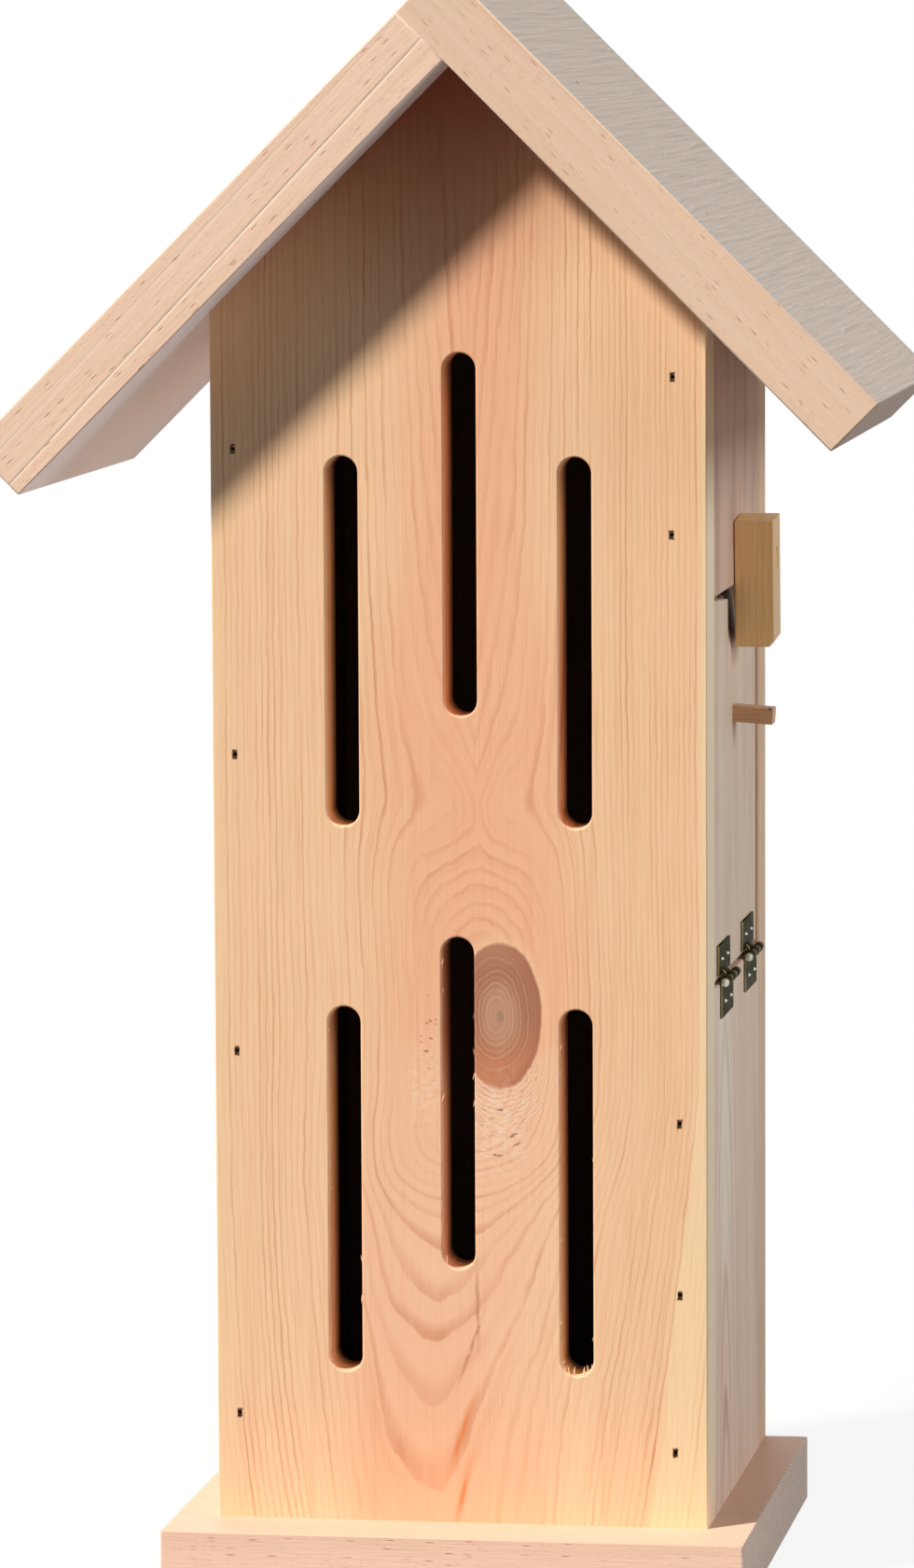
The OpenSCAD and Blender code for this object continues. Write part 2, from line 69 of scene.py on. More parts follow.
# How finely the fasteners are turned, and how they are shaded and welded.
SCREW_SIDES = 28
BRAD_SIDES = 12
GROWN_SHARP_DEG = 35.0
TOUCH_M = 1e-7
COS_45 = math.sqrt(0.5)

Point = tuple[float, float, float]
Profile = Sequence[tuple[float, float]]
Rgb = tuple[int, int, int]
Number = "Field | float"
Colour = bpy.types.NodeSocket | Rgb
Given = bpy.types.NodeSocket | float
Setting = str | int | float | bool


def linear(colour: Rgb) -> tuple[float, float, float, float]:
    """Turns a screen colour into the linear colour that Blender's sockets take.

    Args:
        colour: Red, green and blue from 0 to 255.

    Returns:
        Linear red, green and blue, and an alpha of 1.
    """
    parts = []
    for value in colour:
        share = value / 255
        low = share / 12.92
        high = ((share + 0.055) / 1.055) ** 2.4
        parts.append(low if share <= 0.04045 else high)
    return parts[0], parts[1], parts[2], 1.0


class Body(Enum):
    """The moving bodies of the house."""

    HOUSE = "house"
    DOOR = "access_door"
    BUTTON = "turn_button"


class Slot(Enum):
    """The material slots."""

    FRONT_PINE = "front_pine"
    SIDE_PINE = "side_pine"
    ROOF_BEECH = "roof_beech"
    BASE_BEECH = "base_beech"
    BUTTON_WOOD = "button_wood"
    PULL_WOOD = "pull_wood"
    HINGE_BRASS = "hinge_brass"
    SCREW_STEEL = "screw_steel"
    BRAD_STEEL = "brad_steel"


class Drive(Enum):
    """What a screw's head is turned with."""

    SLOT = "slot"
    CROSS = "cross"


@dataclass(frozen=True)
class Field:
    """A number that changes over a surface, with ordinary sums between fields."""

    sheet: "NodeSheet"
    socket: bpy.types.NodeSocket

    def __add__(self, other: Number) -> "Field":
        """Adds two fields."""
        return self.sheet.sum_of("ADD", self, other)

    def __radd__(self, other: Number) -> "Field":
        """Adds a field to a number."""
        return self.sheet.sum_of("ADD", other, self)

    def __sub__(self, other: Number) -> "Field":
        """Takes a field or number away."""
        return self.sheet.sum_of("SUBTRACT", self, other)

    def __rsub__(self, other: Number) -> "Field":
        """Takes this field away from a number."""
        return self.sheet.sum_of("SUBTRACT", other, self)

    def __mul__(self, other: Number) -> "Field":
        """Multiplies two fields."""
        return self.sheet.sum_of("MULTIPLY", self, other)

    def __truediv__(self, other: Number) -> "Field":
        """Divides by a field or number."""
        return self.sheet.sum_of("DIVIDE", self, other)

    def abs(self) -> "Field":
        """Gives the distance from zero."""
        return self.sheet.sum_of("ABSOLUTE", self)

    def sqrt(self) -> "Field":
        """Gives the square root."""
        return self.sheet.sum_of("SQRT", self)

    def floor(self) -> "Field":
        """Gives the whole part."""
        return self.sheet.sum_of("FLOOR", self)

    def fract(self) -> "Field":
        """Gives the part after the point."""
        return self.sheet.sum_of("FRACT", self)

    def at_least(self, low: Number) -> "Field":
        """Gives the larger of the two."""
        return self.sheet.sum_of("MAXIMUM", self, low)

    def at_most(self, high: Number) -> "Field":
        """Gives the smaller of the two."""
        return self.sheet.sum_of("MINIMUM", self, high)

    def bell(self, width: float) -> "Field":
        """Gives 1 where this field is 0, and falls softly to 0 past a width."""
        near = self / width
        return self.sheet.sum_of("EXPONENT", near * near * -1.0)

    def rise(self, start: float, end: float, low: float = 0.0, high: float = 1.0) -> "Field":
        """Runs smoothly from one value to another.

        Args:
            start: Where the run starts.
            end: Where it ends.
            low: The value up to the start.
            high: The value from the end on.

        Returns:
            The eased field.
        """
        return self.sheet.eased(self, start, end, low, high)


class NodeSheet:
    """The node tree of one material, or of the surroundings, written as sums of fields."""

    def __init__(self, name: str, is_world: bool = False) -> None:
        """Makes an empty tree.

        Args:
            name: The material's name.
            is_world: Whether it is for the surroundings.
        """
        kinds = bpy.data.worlds if is_world else bpy.data.materials
        self.owner = kinds.new(name)
        self.owner.use_nodes = True
        self.tree = self.owner.node_tree
        self.tree.nodes.clear()

    def node(self, kind: str, **settings: Setting) -> bpy.types.Node:
        """Adds a node.

        Args:
            kind: Blender's name of the node.
            **settings: Its options.

        Returns:
            The node.
        """
        made = self.tree.nodes.new(kind)
        for key, value in settings.items():
            setattr(made, key, value)
        return made

    def feed(self, socket: bpy.types.NodeSocket, value: "Field | Given | Sequence[float]") -> None:
        """Links a field to a socket, or sets the socket's own value.

        Args:
            socket: The input to feed.
            value: A field, an output socket or a plain value.
        """
        if isinstance(value, Field):
            self.tree.links.new(value.socket, socket)
        elif isinstance(value, bpy.types.NodeSocket):
            self.tree.links.new(value, socket)
        else:
            socket.default_value = value

    def sum_of(self, operation: str, first: Number, second: Number = 0.0) -> Field:
        """Adds a Math node.

        Args:
            operation: Blender's name of the sum.
            first: Its first value.
            second: Its second value, where it takes one.

        Returns:
            The result.
        """
        made = self.node("ShaderNodeMath", operation=operation)
        self.feed(made.inputs[0], first)
        self.feed(made.inputs[1], second)
        return Field(self, made.outputs[0])

    def eased(self, value: Field, start: float, end: float, low: float, high: float) -> Field:
        """Adds a Map Range node with soft ends.

        Args:
            value: The field that drives the run.
            start: Where the run starts.
            end: Where it ends.
            low: The value up to the start.
            high: The value from the end on.

        Returns:
            The eased field.
        """
        made = self.node("ShaderNodeMapRange", interpolation_type="SMOOTHSTEP")
        self.feed(made.inputs["Value"], value)
        made.inputs["From Min"].default_value = start
        made.inputs["From Max"].default_value = end
        made.inputs["To Min"].default_value = low
        made.inputs["To Max"].default_value = high
        return Field(self, made.outputs[0])

    def place(self, turn_deg: Point = (0.0, 0.0, 0.0)) -> tuple[Field, Field, Field]:
        """Gives the place on the house in millimetres, turned with the piece if asked.

        Args:
            turn_deg: Turn of the pattern about X, Y and Z.

        Returns:
            The three coordinates.
        """
        source = self.node("ShaderNodeTexCoord")
        turned = self.node("ShaderNodeMapping", vector_type="POINT")
        turned.inputs["Rotation"].default_value = [math.radians(a) for a in turn_deg]
        turned.inputs["Scale"].default_value = (1000.0, 1000.0, 1000.0)
        self.tree.links.new(source.outputs["Object"], turned.inputs["Vector"])
        split = self.node("ShaderNodeSeparateXYZ")
        self.tree.links.new(turned.outputs[0], split.inputs[0])
        x, y, z = (Field(self, output) for output in split.outputs)
        return x, y, z

    def indoor_shade_mask(self, wall_x: float = CABIN_HALF) -> Field:
        """Says which faces look into the cabin, where shade is painted on the wood.

        Args:
            wall_x: Where the board's inner face is.

        Returns:
            1 on the inner faces and 0 outside.
        """
        x, y, z = self.place()
        between_sides = x.abs().rise(wall_x + 0.8, wall_x + 0.2)
        between_ends = (y - CABIN_MIDDLE_Y).abs().rise(CABIN_HALF + 0.8, CABIN_HALF + 0.2)
        above_base = z.rise(19.2, 19.8)
        below_roof = (z + x.abs()).rise(462.2, 461.4)
        return between_sides * between_ends * above_base * below_roof

    def vector(self, x: Number, y: Number, z: Number) -> bpy.types.NodeSocket:
        """Joins three fields into one vector.

        Args:
            x: First part.
            y: Second part.
            z: Third part.

        Returns:
            The vector's socket.
        """
        made = self.node("ShaderNodeCombineXYZ")
        for socket, value in zip(made.inputs, (x, y, z)):
            self.feed(socket, value)
        return made.outputs[0]

    def noise(self, x: Number, y: Number, z: Number, detail: float = 2.0) -> Field:
        """Gives soft noise from -1 to 1, mostly within half of that.

        Args:
            x: First part of the place, in waves.
            y: Second part.
            z: Third part.
            detail: Layers of finer noise.

        Returns:
            The noise.
        """
        made = self.node("ShaderNodeTexNoise", noise_dimensions="3D")
        self.feed(made.inputs["Vector"], self.vector(x, y, z))
        made.inputs["Scale"].default_value = 1.0
        made.inputs["Detail"].default_value = detail
        return Field(self, made.outputs["Fac"]) * 2.0 - 1.0

    def chance(self, value: Field, seed: float = 0.0) -> Field:
        """Gives one random number from 0 to 1 for each whole value.

        Args:
            value: Whole numbers, such as the count of a ring.
            seed: What sets one series apart from another.

        Returns:
            The random number.
        """
        made = self.node("ShaderNodeTexWhiteNoise", noise_dimensions="1D")
        self.feed(made.inputs["W"], value + seed)
        return Field(self, made.outputs["Value"])

    def cells(self, x: Number, y: Number, z: Number) -> tuple[Field, Field]:
        """Scatters one spot in every unit cell.

        Args:
            x: First part of the place, in cells.
            y: Second part.
            z: Third part.

        Returns:
            The distance to the nearest spot and a random number of that spot.
        """
        made = self.node("ShaderNodeTexVoronoi", feature="F1", voronoi_dimensions="3D")
        self.feed(made.inputs["Vector"], self.vector(x, y, z))
        made.inputs["Scale"].default_value = 1.0
        split = self.node("ShaderNodeSeparateColor")
        self.tree.links.new(made.outputs["Color"], split.inputs[0])
        return Field(self, made.outputs["Distance"]), Field(self, split.outputs[0])

    def profile(self, value: Field, points: Profile) -> Field:
        """Follows a curve through given points.

        Args:
            value: The place along the curve.
            points: Place and height of each point, in order of their places.

        Returns:
            The height of the curve at each place.
        """
        low_x, high_x = points[0][0], points[-1][0]
        low_y = min(p[1] for p in points)
        high_y = max(p[1] for p in points)
        made = self.node("ShaderNodeFloatCurve")
        curve = made.mapping.curves[0]
        for index, (place, height) in enumerate(points):
            spot = ((place - low_x) / (high_x - low_x), (height - low_y) / (high_y - low_y))
            if index == 0 or index == len(points) - 1:
                curve.points[0 if index == 0 else -1].location = spot
            else:
                curve.points.new(*spot)
        made.mapping.update()
        self.feed(made.inputs["Value"], (value - low_x) / (high_x - low_x))
        return Field(self, made.outputs[0]) * (high_y - low_y) + low_y

    def blend(self, share: Number, first: Colour, second: Colour) -> bpy.types.NodeSocket:
        """Mixes two colours.

        Args:
            share: How much of the second colour shows, from 0 to 1.
            first: The first colour.
            second: The second colour.

        Returns:
            The mixed colour.
        """
        made = self.node("ShaderNodeMix", data_type="RGBA", blend_type="MIX", clamp_factor=True)
        self.feed(made.inputs[0], share)
        for socket, value in ((made.inputs[6], first), (made.inputs[7], second)):
            self.feed(socket, linear(value) if isinstance(value, tuple) else value)
        return made.outputs[2]

    def bump(self, height: Field, depth_mm: float) -> bpy.types.NodeSocket:
        """Turns a height field into a surface normal.

        Args:
            height: The relief, from about 0 to 1.
            depth_mm: The relief's depth in millimetres at 1.

        Returns:
            The normal's socket.
        """
        made = self.node("ShaderNodeBump")
        made.inputs["Strength"].default_value = 1.0
        made.inputs["Distance"].default_value = depth_mm * MM
        self.feed(made.inputs["Height"], height)
        return made.outputs[0]

    def rays(self) -> tuple[Field, Field]:
        """Tells the camera's rays apart from the mirrored ones.

        Returns:
            1 for the camera's own rays, and 1 for those that metal mirrors or that pass through.
        """
        path = self.node("ShaderNodeLightPath")
        seen, glossy, passing = (
            Field(self, path.outputs[f"Is {kind} Ray"])
            for kind in ("Camera", "Glossy", "Transmission")
        )
        return seen, glossy + passing

    def end(self, kind: str, share: Field, first: bpy.types.Node, second: bpy.types.Node) -> None:
        """Ends the tree in a mix of two shaders.

        Args:
            kind: Blender's name of the output node.
            share: How much of the second shader shows.
            first: The first shader.
            second: The second shader.
        """
        mix = self.node("ShaderNodeMixShader")
        for socket, value in zip(mix.inputs, (share, first.outputs[0], second.outputs[0])):
            self.feed(socket, value)
        self.tree.links.new(mix.outputs[0], self.node(kind).inputs["Surface"])

    def close(
        self,
        colour: Colour,
        roughness: Number,
        normal: bpy.types.NodeSocket,
        specular: float,
        metallic: float = 0.0,
        grazing: Rgb = (255, 255, 255),
    ) -> bpy.types.Material:
        """Ends the material in a Principled shader.

        Args:
            colour: The base colour's socket.
            roughness: Roughness, a field or a number.
            normal: The bumped normal.
            specular: Specular level, the same all over.
            metallic: 1 for metal.
            grazing: Tint of what is mirrored at a flat angle.

        Returns:
            The finished material.
        """
        shader = self.node("ShaderNodeBsdfPrincipled")
        shader.inputs["Specular IOR Level"].default_value = specular
        shader.inputs["Metallic"].default_value = metallic
        shader.inputs["Specular Tint"].default_value = linear(grazing)
        self.feed(shader.inputs["Base Color"], colour)
        self.feed(shader.inputs["Roughness"], roughness)
        self.feed(shader.inputs["Normal"], normal)
        output = self.node("ShaderNodeOutputMaterial")
        self.tree.links.new(shader.outputs[0], output.inputs["Surface"])
        return self.owner


@dataclass(frozen=True)
class Spot:
    """A soft patch on the face of the front board."""

    across: float
    height: float
    wide: float
    tall: float

    def on(self, x: Field, h: Field) -> Field:
        """Gives 1 in the middle of the patch, and falls softly to 0 past its size."""
        return (x - self.across).bell(self.wide) * (h - self.height).bell(self.tall)


@dataclass(frozen=True)
class Knot:
    """The red knot of the front board: an oval of fine year rings, with bent grain round it."""

    across: float = 12.3
    height: float = 154.8
    half_wide: float = 12.4
    half_tall: float = 22.2
    low_part: Rgb = (204, 132, 98)
    high_part: Rgb = (174, 118, 92)
    top: Rgb = (198, 140, 112)
    middle: Rgb = (196, 146, 118)
    light_year: Rgb = (212, 170, 142)
    rim: Rgb = (172, 110, 84)
    pith: Rgb = (160, 128, 108)
    fibre_line: Rgb = (160, 108, 84)
    halo: Rgb = (252, 214, 176)
    pale_fringe: Rgb = (252, 224, 198)
    dark_fringe: Rgb = (184, 124, 94)

    def from_middle(self, x: Field, h: Field) -> tuple[Field, Field]:
        """Gives the way from the knot's middle, sideways and up, in its half sizes."""
        return (x - self.across) / self.half_wide, (h - self.height) / self.half_tall

    def draw(
        self, sheet: NodeSheet, x: Field, h: Field, colour: Colour, fibre: Field
    ) -> tuple[Colour, Field]:
        """Draws the knot over the board's colour.

        Args:
            sheet: The material's sheet.
            x: Place across the board.
            h: Height on the board.
            colour: The board's colour so far.
            fibre: The board's fine fibre noise.

        Returns:
            The new colour, and 1 inside the knot.
        """
        across, upward = self.from_middle(x, h)
        wobble = sheet.noise(x / 9, 0.0, h / 11) * 0.05
        wobble = wobble + sheet.noise(x / 1.6, 0.0, h / 2.6) * 0.024
        reach = (across * across + upward * upward).sqrt() + wobble
        inside = reach.rise(1.04, 0.97)
        body = self.body(sheet, across, upward, reach, wobble)
        body = sheet.blend((fibre * 0.6 + 0.1).rise(0.0, 0.5, 0.0, 0.18), body, self.fibre_line)
        halo = reach.rise(1.22, 1.0) * (1.0 - inside) * upward.rise(-0.2, 0.4)
        around = sheet.blend(halo * 0.4, colour, self.halo)
        broken = sheet.noise(x / 3.5, 0.0, h / 2.5, 3.0)
        fringe = reach.rise(2.0, 1.2) * upward.rise(-0.35, -0.8)
        fringe = fringe * (broken + 0.2).rise(0.0, 0.5, 0.5, 1.0)
        arc = (reach * 15.0 + wobble * 16.0).fract()
        around = sheet.blend(fringe * arc.rise(0.1, 0.4) * 0.55, around, self.pale_fringe)
        around = sheet.blend(fringe * arc.rise(0.75, 0.95) * 0.7, around, self.dark_fringe)
        return sheet.blend(inside, around, body), inside

    def body(
        self, sheet: NodeSheet, across: Field, upward: Field, reach: Field, wobble: Field
    ) -> Colour:
        """Colours the inside of the knot, with its year rings, rim and pith.

        Args:
            sheet: The material's sheet.
            across: The way sideways, in half widths.
            upward: The way up, in half heights.
            reach: The way from the middle, 1 at the rim.
            wobble: How far the rings wander.

        Returns:
            The colour inside the knot.
        """
        heart = (across + 0.1) * (across + 0.1) + (upward - 0.02) * (upward - 0.02)
        years = heart.sqrt() * 11.0 + wobble * 14.0
        year = years.fract()
        plain_year = sheet.chance(years.floor(), 11.0) * 0.7 + 0.3
        light = year.rise(0.35, 0.6) * year.rise(0.66, 0.92, 1.0, 0.0) * plain_year
        body = sheet.blend(upward.rise(-0.85, 0.0), self.low_part, self.high_part)
        body = sheet.blend(upward.rise(0.55, 0.95) * 0.5, body, self.top)
        body = sheet.blend(reach.rise(0.6, 0.25), body, self.middle)
        body = sheet.blend(light * reach.rise(0.95, 0.35, 0.3, 0.6), body, self.light_year)
        rim = reach.rise(0.8, 0.98) * (across * 0.8 + 0.3).rise(0.0, 0.8)
        body = sheet.blend(rim * 0.6, body, self.rim)
        return sheet.blend(reach.rise(0.13, 0.06) * 0.7, body, self.pith)


@dataclass(frozen=True)
class FrontPineFinish:
    """Flat-sawn pine of the front panel, with its one red knot.

    The growth rings are counted from the heart of the tree: sideways from a centre line that wanders
    up the board, and in depth, where the knot pulls the heart to the surface.
    """

    name: str = "front_pine_with_knot"
    floor_mm: float = 20.0
    face_y_mm: float = -63.0
    heartwood: Rgb = (246, 189, 151)
    outer_wood: Rgb = (249, 208, 168)
    sapwood: Rgb = (249, 217, 174)
    late_line: Rgb = (210, 138, 102)
    outer_line: Rgb = (208, 138, 94)
    sap_line: Rgb = (226, 180, 126)
    rosy_band: Rgb = (240, 172, 130)
    dark_band: Rgb = (228, 160, 118)
    light_band: Rgb = (252, 212, 176)
    low_glow: Rgb = (252, 210, 180)
    right_tone: Rgb = (220, 160, 112)
    fibre_line: Rgb = (214, 150, 108)
    edge_tint: Rgb = (255, 230, 200)
    slot_painted_shade: Rgb = (108, 66, 42)
    eave_painted_warm_shade: Rgb = (255, 176, 124)
    eave_painted_shade: Rgb = (142, 72, 40)
    brad_hole_painted_shade: Rgb = (112, 72, 46)
    torn_fibre: Rgb = (252, 226, 202)
    torn_stroke: Rgb = (255, 236, 216)
    speck: Rgb = (140, 90, 64)
    vein: Rgb = (188, 124, 90)
    resin: Rgb = (226, 128, 64)
    knot: Knot = Knot()
    calm_left: Spot = Spot(-12.0, 140.0, 10.0, 40.0)
    calm_right: Spot = Spot(27.5, 160.0, 4.5, 20.0)
    calm_upper: Spot = Spot(1.0, 300.0, 26.0, 60.0)
    nested: Spot = Spot(-10.0, 62.0, 15.0, 46.0)
    pinched: Spot = Spot(5.0, 203.0, 14.0, 14.0)
    torn: Spot = Spot(12.5, 119.0, 7.5, 13.0)
    chipped: Spot = Spot(-11.0, 132.0, 5.0, 13.0)
    specked: Spot = Spot(-9.5, 147.0, 3.0, 15.0)
    centre_line: tuple[tuple[float, float], ...] = (
        (0, -10), (34, -11), (56, -8.6), (69, -7.5), (93, -4), (120, 5), (150, 9), (180, 7.5),
        (207, 6.3), (227, 5.4), (300, 4), (441, 4),
    )
    heart_rings: tuple[tuple[float, float], ...] = (
        (0, 17.5), (11, 17), (36, 16), (56, 15), (69, 14), (84, 13), (93, 12), (130, 3), (155, 1.5),
        (177, 2.6), (183, 3.6), (190, 5), (197, 6.3), (204, 7.4), (210, 8.1), (217, 8.4), (224, 8),
        (245, 6.2), (275, 4.7), (330, 3), (360, 2.2), (414, 1.3), (441, 1),
    )
    pull_width: tuple[tuple[float, float], ...] = (
        (0, 80), (60, 62), (100, 56), (150, 44), (190, 29), (217, 25), (240, 26), (441, 50),
    )
    sap_edge: tuple[tuple[float, float], ...] = (
        (0, 57), (70, 65), (140, 71.5), (300, 73), (441, 73.5),
    )

    def rings(self, sheet: NodeSheet, x: Field, y: Field, h: Field) -> tuple[Field, Field]:
        """Counts the growth rings.

        Args:
            sheet: The material's sheet.
            x: Place across the board.
            y: Place through the board.
            h: Height on the board.

        Returns:
            The count of rings from the heart, and the distance from the centre line.
        """
        shift = sheet.profile(h, self.centre_line) * x.bell(45.0)
        below = (130.0 - h).at_least(0.0)
        slant = below * (x.rise(20.0, 55.0, 0.0, 0.09) - x.rise(-20.0, -55.0, 0.0, 0.05))
        away = (x - shift + slant).abs()
        far = (away - 12.0).at_least(0.0)
        side = away * 0.32 + far * far * 0.25 / (far + 14.0)
        depth = sheet.profile(h, self.heart_rings) + (y - self.face_y_mm) * 0.19
        reach = away / sheet.profile(h, self.pull_width)
        pulled = depth * (reach * reach).bell(1.0)
        low = (side * side + pulled * pulled).sqrt()
        high = side + depth * away.bell(24.5)
        sway = sheet.noise(x / 22, y / 60, h / 64) * 0.42
        even = (x + 10.0).bell(20.0) * h.rise(150.0, 110.0)
        fine = sheet.noise(x / 4, y / 20, h / 11, 3.0) * (0.36 - even * 0.3)
        return low + (high - low) * h.rise(190.0, 226.0) + sway + fine, away

    def strength(self, sheet: NodeSheet, x: Field, h: Field, luck: Field) -> Field:
        """Says how dark the ring lines are at each place.

        Args:
            sheet: The material's sheet.
            x: Place across the board.
            h: Height on the board.
            luck: A random number for each ring.

        Returns:
            The darkness, from 0 to about 1.
        """
        bundle = (x + 56.0).bell(4.0) + (x - 49.0).bell(3.0) * h.rise(150.0, 220.0)
        patch = sheet.noise(x / 7, 0.0, h / 45, 3.0) * 1.1 + 0.62
        calm = (1.0 - self.calm_left.on(x, h) * 0.9) * (1.0 - self.calm_right.on(x, h) * 0.9)
        calm = calm * (1.0 - self.calm_upper.on(x, h) * 0.5)
        dark = (luck * luck * 0.9 + 0.2) * patch.at_least(0.1)
        dark = dark + self.pinched.on(x, h) * 0.2 + bundle * 0.25
        return (dark + self.nested.on(x, h) * 0.5) * calm

    def make(self) -> bpy.types.Material:
        """Builds the material.

        Returns:
            The finished material.
        """
        sheet = NodeSheet(self.name)
        x, y, z = sheet.place()
        h = z - self.floor_mm
        rings, away = self.rings(sheet, x, y, h)
        growth = rings.fract()
        luck = sheet.chance(rings.floor(), 3.0)
        late = growth.rise(0.5, 0.88) * growth.rise(0.94, 1.0, 1.0, 0.0)
        late = late * self.strength(sheet, x, h, luck)
        fibre = sheet.noise(x * 1.7, y * 0.9, h / 30, 3.0)
        cloud = sheet.noise(x / 34, y / 34, h / 120, 1.0)
        outer = (away + cloud * 14.0 + h.rise(240.0, 310.0) * 13.0).rise(12.0, 46.0)
        sap = (x + cloud * 1.5 - sheet.profile(h, self.sap_edge)).rise(-1.5, 1.5)
        sap = sap.at_least(x.rise(-66.0, -73.0) * 0.35)
        ground = sheet.blend(outer, self.heartwood, self.outer_wood)
        ground = self.draw_bands(sheet, (x, y, h), rings, ground)
        ground = sheet.blend((h - 86.0).bell(56.0) * away.bell(40.0) * 0.5, ground, self.low_glow)
        ground = sheet.blend(x.rise(34.0, 50.0, 0.0, 0.12), ground, self.right_tone)
        ground = sheet.blend(sap, ground, self.sapwood)
        line = sheet.blend(outer, self.late_line, self.outer_line)
        line = sheet.blend(sap, line, self.sap_line)
        low_sides = x.abs().rise(30.0, 44.0) * h.rise(220.0, 130.0, 0.0, 0.25)
        bold = h.rise(150.0, 260.0, 0.58, 0.85) + low_sides
        colour = sheet.blend((late * bold).at_most(0.9), ground, line)
        thin = (fibre * 0.6 + 0.1).rise(0.0, 0.5, 0.0, 0.16)
        colour = sheet.blend(thin, colour, self.fibre_line)
        colour, knot = self.knot.draw(sheet, x, h, colour, fibre)
        colour = self.draw_torn_grain(sheet, x, h, colour)
        colour = self.draw_streaks(sheet, x, h, colour, fibre)
        colour = self.draw_edges_and_painted_shade(sheet, x, y, z, colour)
        height = late * 0.5 + fibre * 0.45 - knot * 0.2
        roughness = fibre * 0.05 + 0.66 - knot * 0.08
        return sheet.close(colour, roughness, sheet.bump(height, 0.07), 0.15)

    def draw_bands(
        self, sheet: NodeSheet, place: tuple[Field, Field, Field], rings: Field, ground: Colour
    ) -> Colour:
        """Draws the soft rosy, dark and light bands along the grain.

        Args:
            sheet: The material's sheet.
            place: Across, through and up the board.
            rings: The count of rings from the heart.
            ground: The board's colour so far.

        Returns:
            The new colour.
        """
        x, y, h = place
        combed = sheet.noise(rings * 2.1, y / 9, h / 46, 4.0)
        blush = sheet.noise(x / 3.2, y / 9, h / 110)
        rosy = blush.rise(0.0, 0.5, 0.0, 0.3) * h.rise(230.0, 330.0, 1.0, 0.3)
        ground = sheet.blend(rosy, ground, self.rosy_band)
        ground = sheet.blend(combed.rise(0.0, 0.45, 0.0, 0.34), ground, self.dark_band)
        return sheet.blend(combed.rise(-0.05, -0.5, 0.0, 0.3), ground, self.light_band)

    def draw_edges_and_painted_shade(self, sheet: NodeSheet, x: Field, y: Field, z: Field, colour: Colour) -> Colour:
        """Pales the board's side edges, and paints shade in its slots and brad holes, under the
        eaves and on its inner face.

        Args:
            sheet: The material's sheet.
            x: Place across the board.
            y: Place through the board.
            z: Height over the base board's underside.
            colour: The board's colour so far.

        Returns:
            The new colour.
        """
        colour = sheet.blend(x.abs().rise(74.6, 74.9) * 0.6, colour, self.edge_tint)
        # Painted shade on the slots' walls, darker deeper into the board.
        deep = (y - self.face_y_mm).rise(6.0, 18.0, 0.0, 0.8) * x.abs().rise(60.0, 58.0)
        colour = sheet.blend(deep, colour, self.slot_painted_shade)
        # Painted warm shade under the left eave.
        colour = sheet.blend((z - x).rise(412.0, 440.0, 0.0, 0.3), colour, self.eave_painted_warm_shade)
        # Painted shade, darkest up at the apex under the roof.
        colour = sheet.blend((z - x * 0.2).rise(382.0, 462.0, 0.0, 0.95), colour, self.eave_painted_shade)
        # Painted shade at the mouths of the brad holes.
        plan = BradPlan()
        ragged = sheet.noise(x * 1.3, 0.0, z * 1.1) * 0.4
        mouth: Number = 0.0
        for hole_x, _, hole_z in plan.left_column(0.0) + plan.right_column(0.0):
            upright = (z - hole_z).abs() * 0.55
            mouth = mouth + ((x - hole_x).abs().at_least(upright) + ragged).rise(0.92, 0.66)
        colour = sheet.blend(mouth.at_most(0.9), colour, self.brad_hole_painted_shade)
        # Painted shade on the faces inside the cabin.
        return sheet.blend(sheet.indoor_shade_mask() * INDOOR_PAINTED_SHADE, colour, INDOOR_PAINTED_SHADE_COLOUR)

    def draw_torn_grain(self, sheet: NodeSheet, x: Field, h: Field, colour: Colour) -> Colour:
        """Draws the torn grain below the knot, and the specks on it and to its left.

        Args:
            sheet: The material's sheet.
            x: Place across the board.
            h: Height on the board.
            colour: The board's colour so far.

        Returns:
            The new colour.
        """
        torn = self.torn.on(x, h)
        pale = sheet.noise(x / 2.2, 0.0, h / 2.0, 3.0)
        share = (torn + self.chipped.on(x, h) * 0.8) * (pale + 0.4).rise(0.2, 0.7, 0.0, 0.6)
        colour = sheet.blend(share, colour, self.torn_fibre)
        across, upward = self.knot.from_middle(x, h)
        reach = (across * across + upward * upward).sqrt()
        swing = across / (0.25 - upward).at_least(0.3)
        near, luck = sheet.cells(swing * 4.5, 0.0, reach * 15.0 + pale * 0.8)
        stroke = near.rise(0.42, 0.2) * torn.rise(0.15, 0.5)
        colour = sheet.blend(stroke * luck.rise(0.45, 0.4) * 0.4, colour, self.torn_stroke)
        dash = near.rise(0.34, 0.2) * luck.rise(0.62, 0.68) * torn.rise(0.3, 0.6)
        near, luck = sheet.cells((x - h * 0.4) / 2.8, 0.0, (h + x * 0.4) / 1.3)
        left = self.specked.on(x, h)
        dash = dash + near.rise(0.34, 0.16) * luck.rise(0.55, 0.6) * left.rise(0.3, 0.6)
        return sheet.blend(dash.at_most(1.0) * 0.7, colour, self.speck)

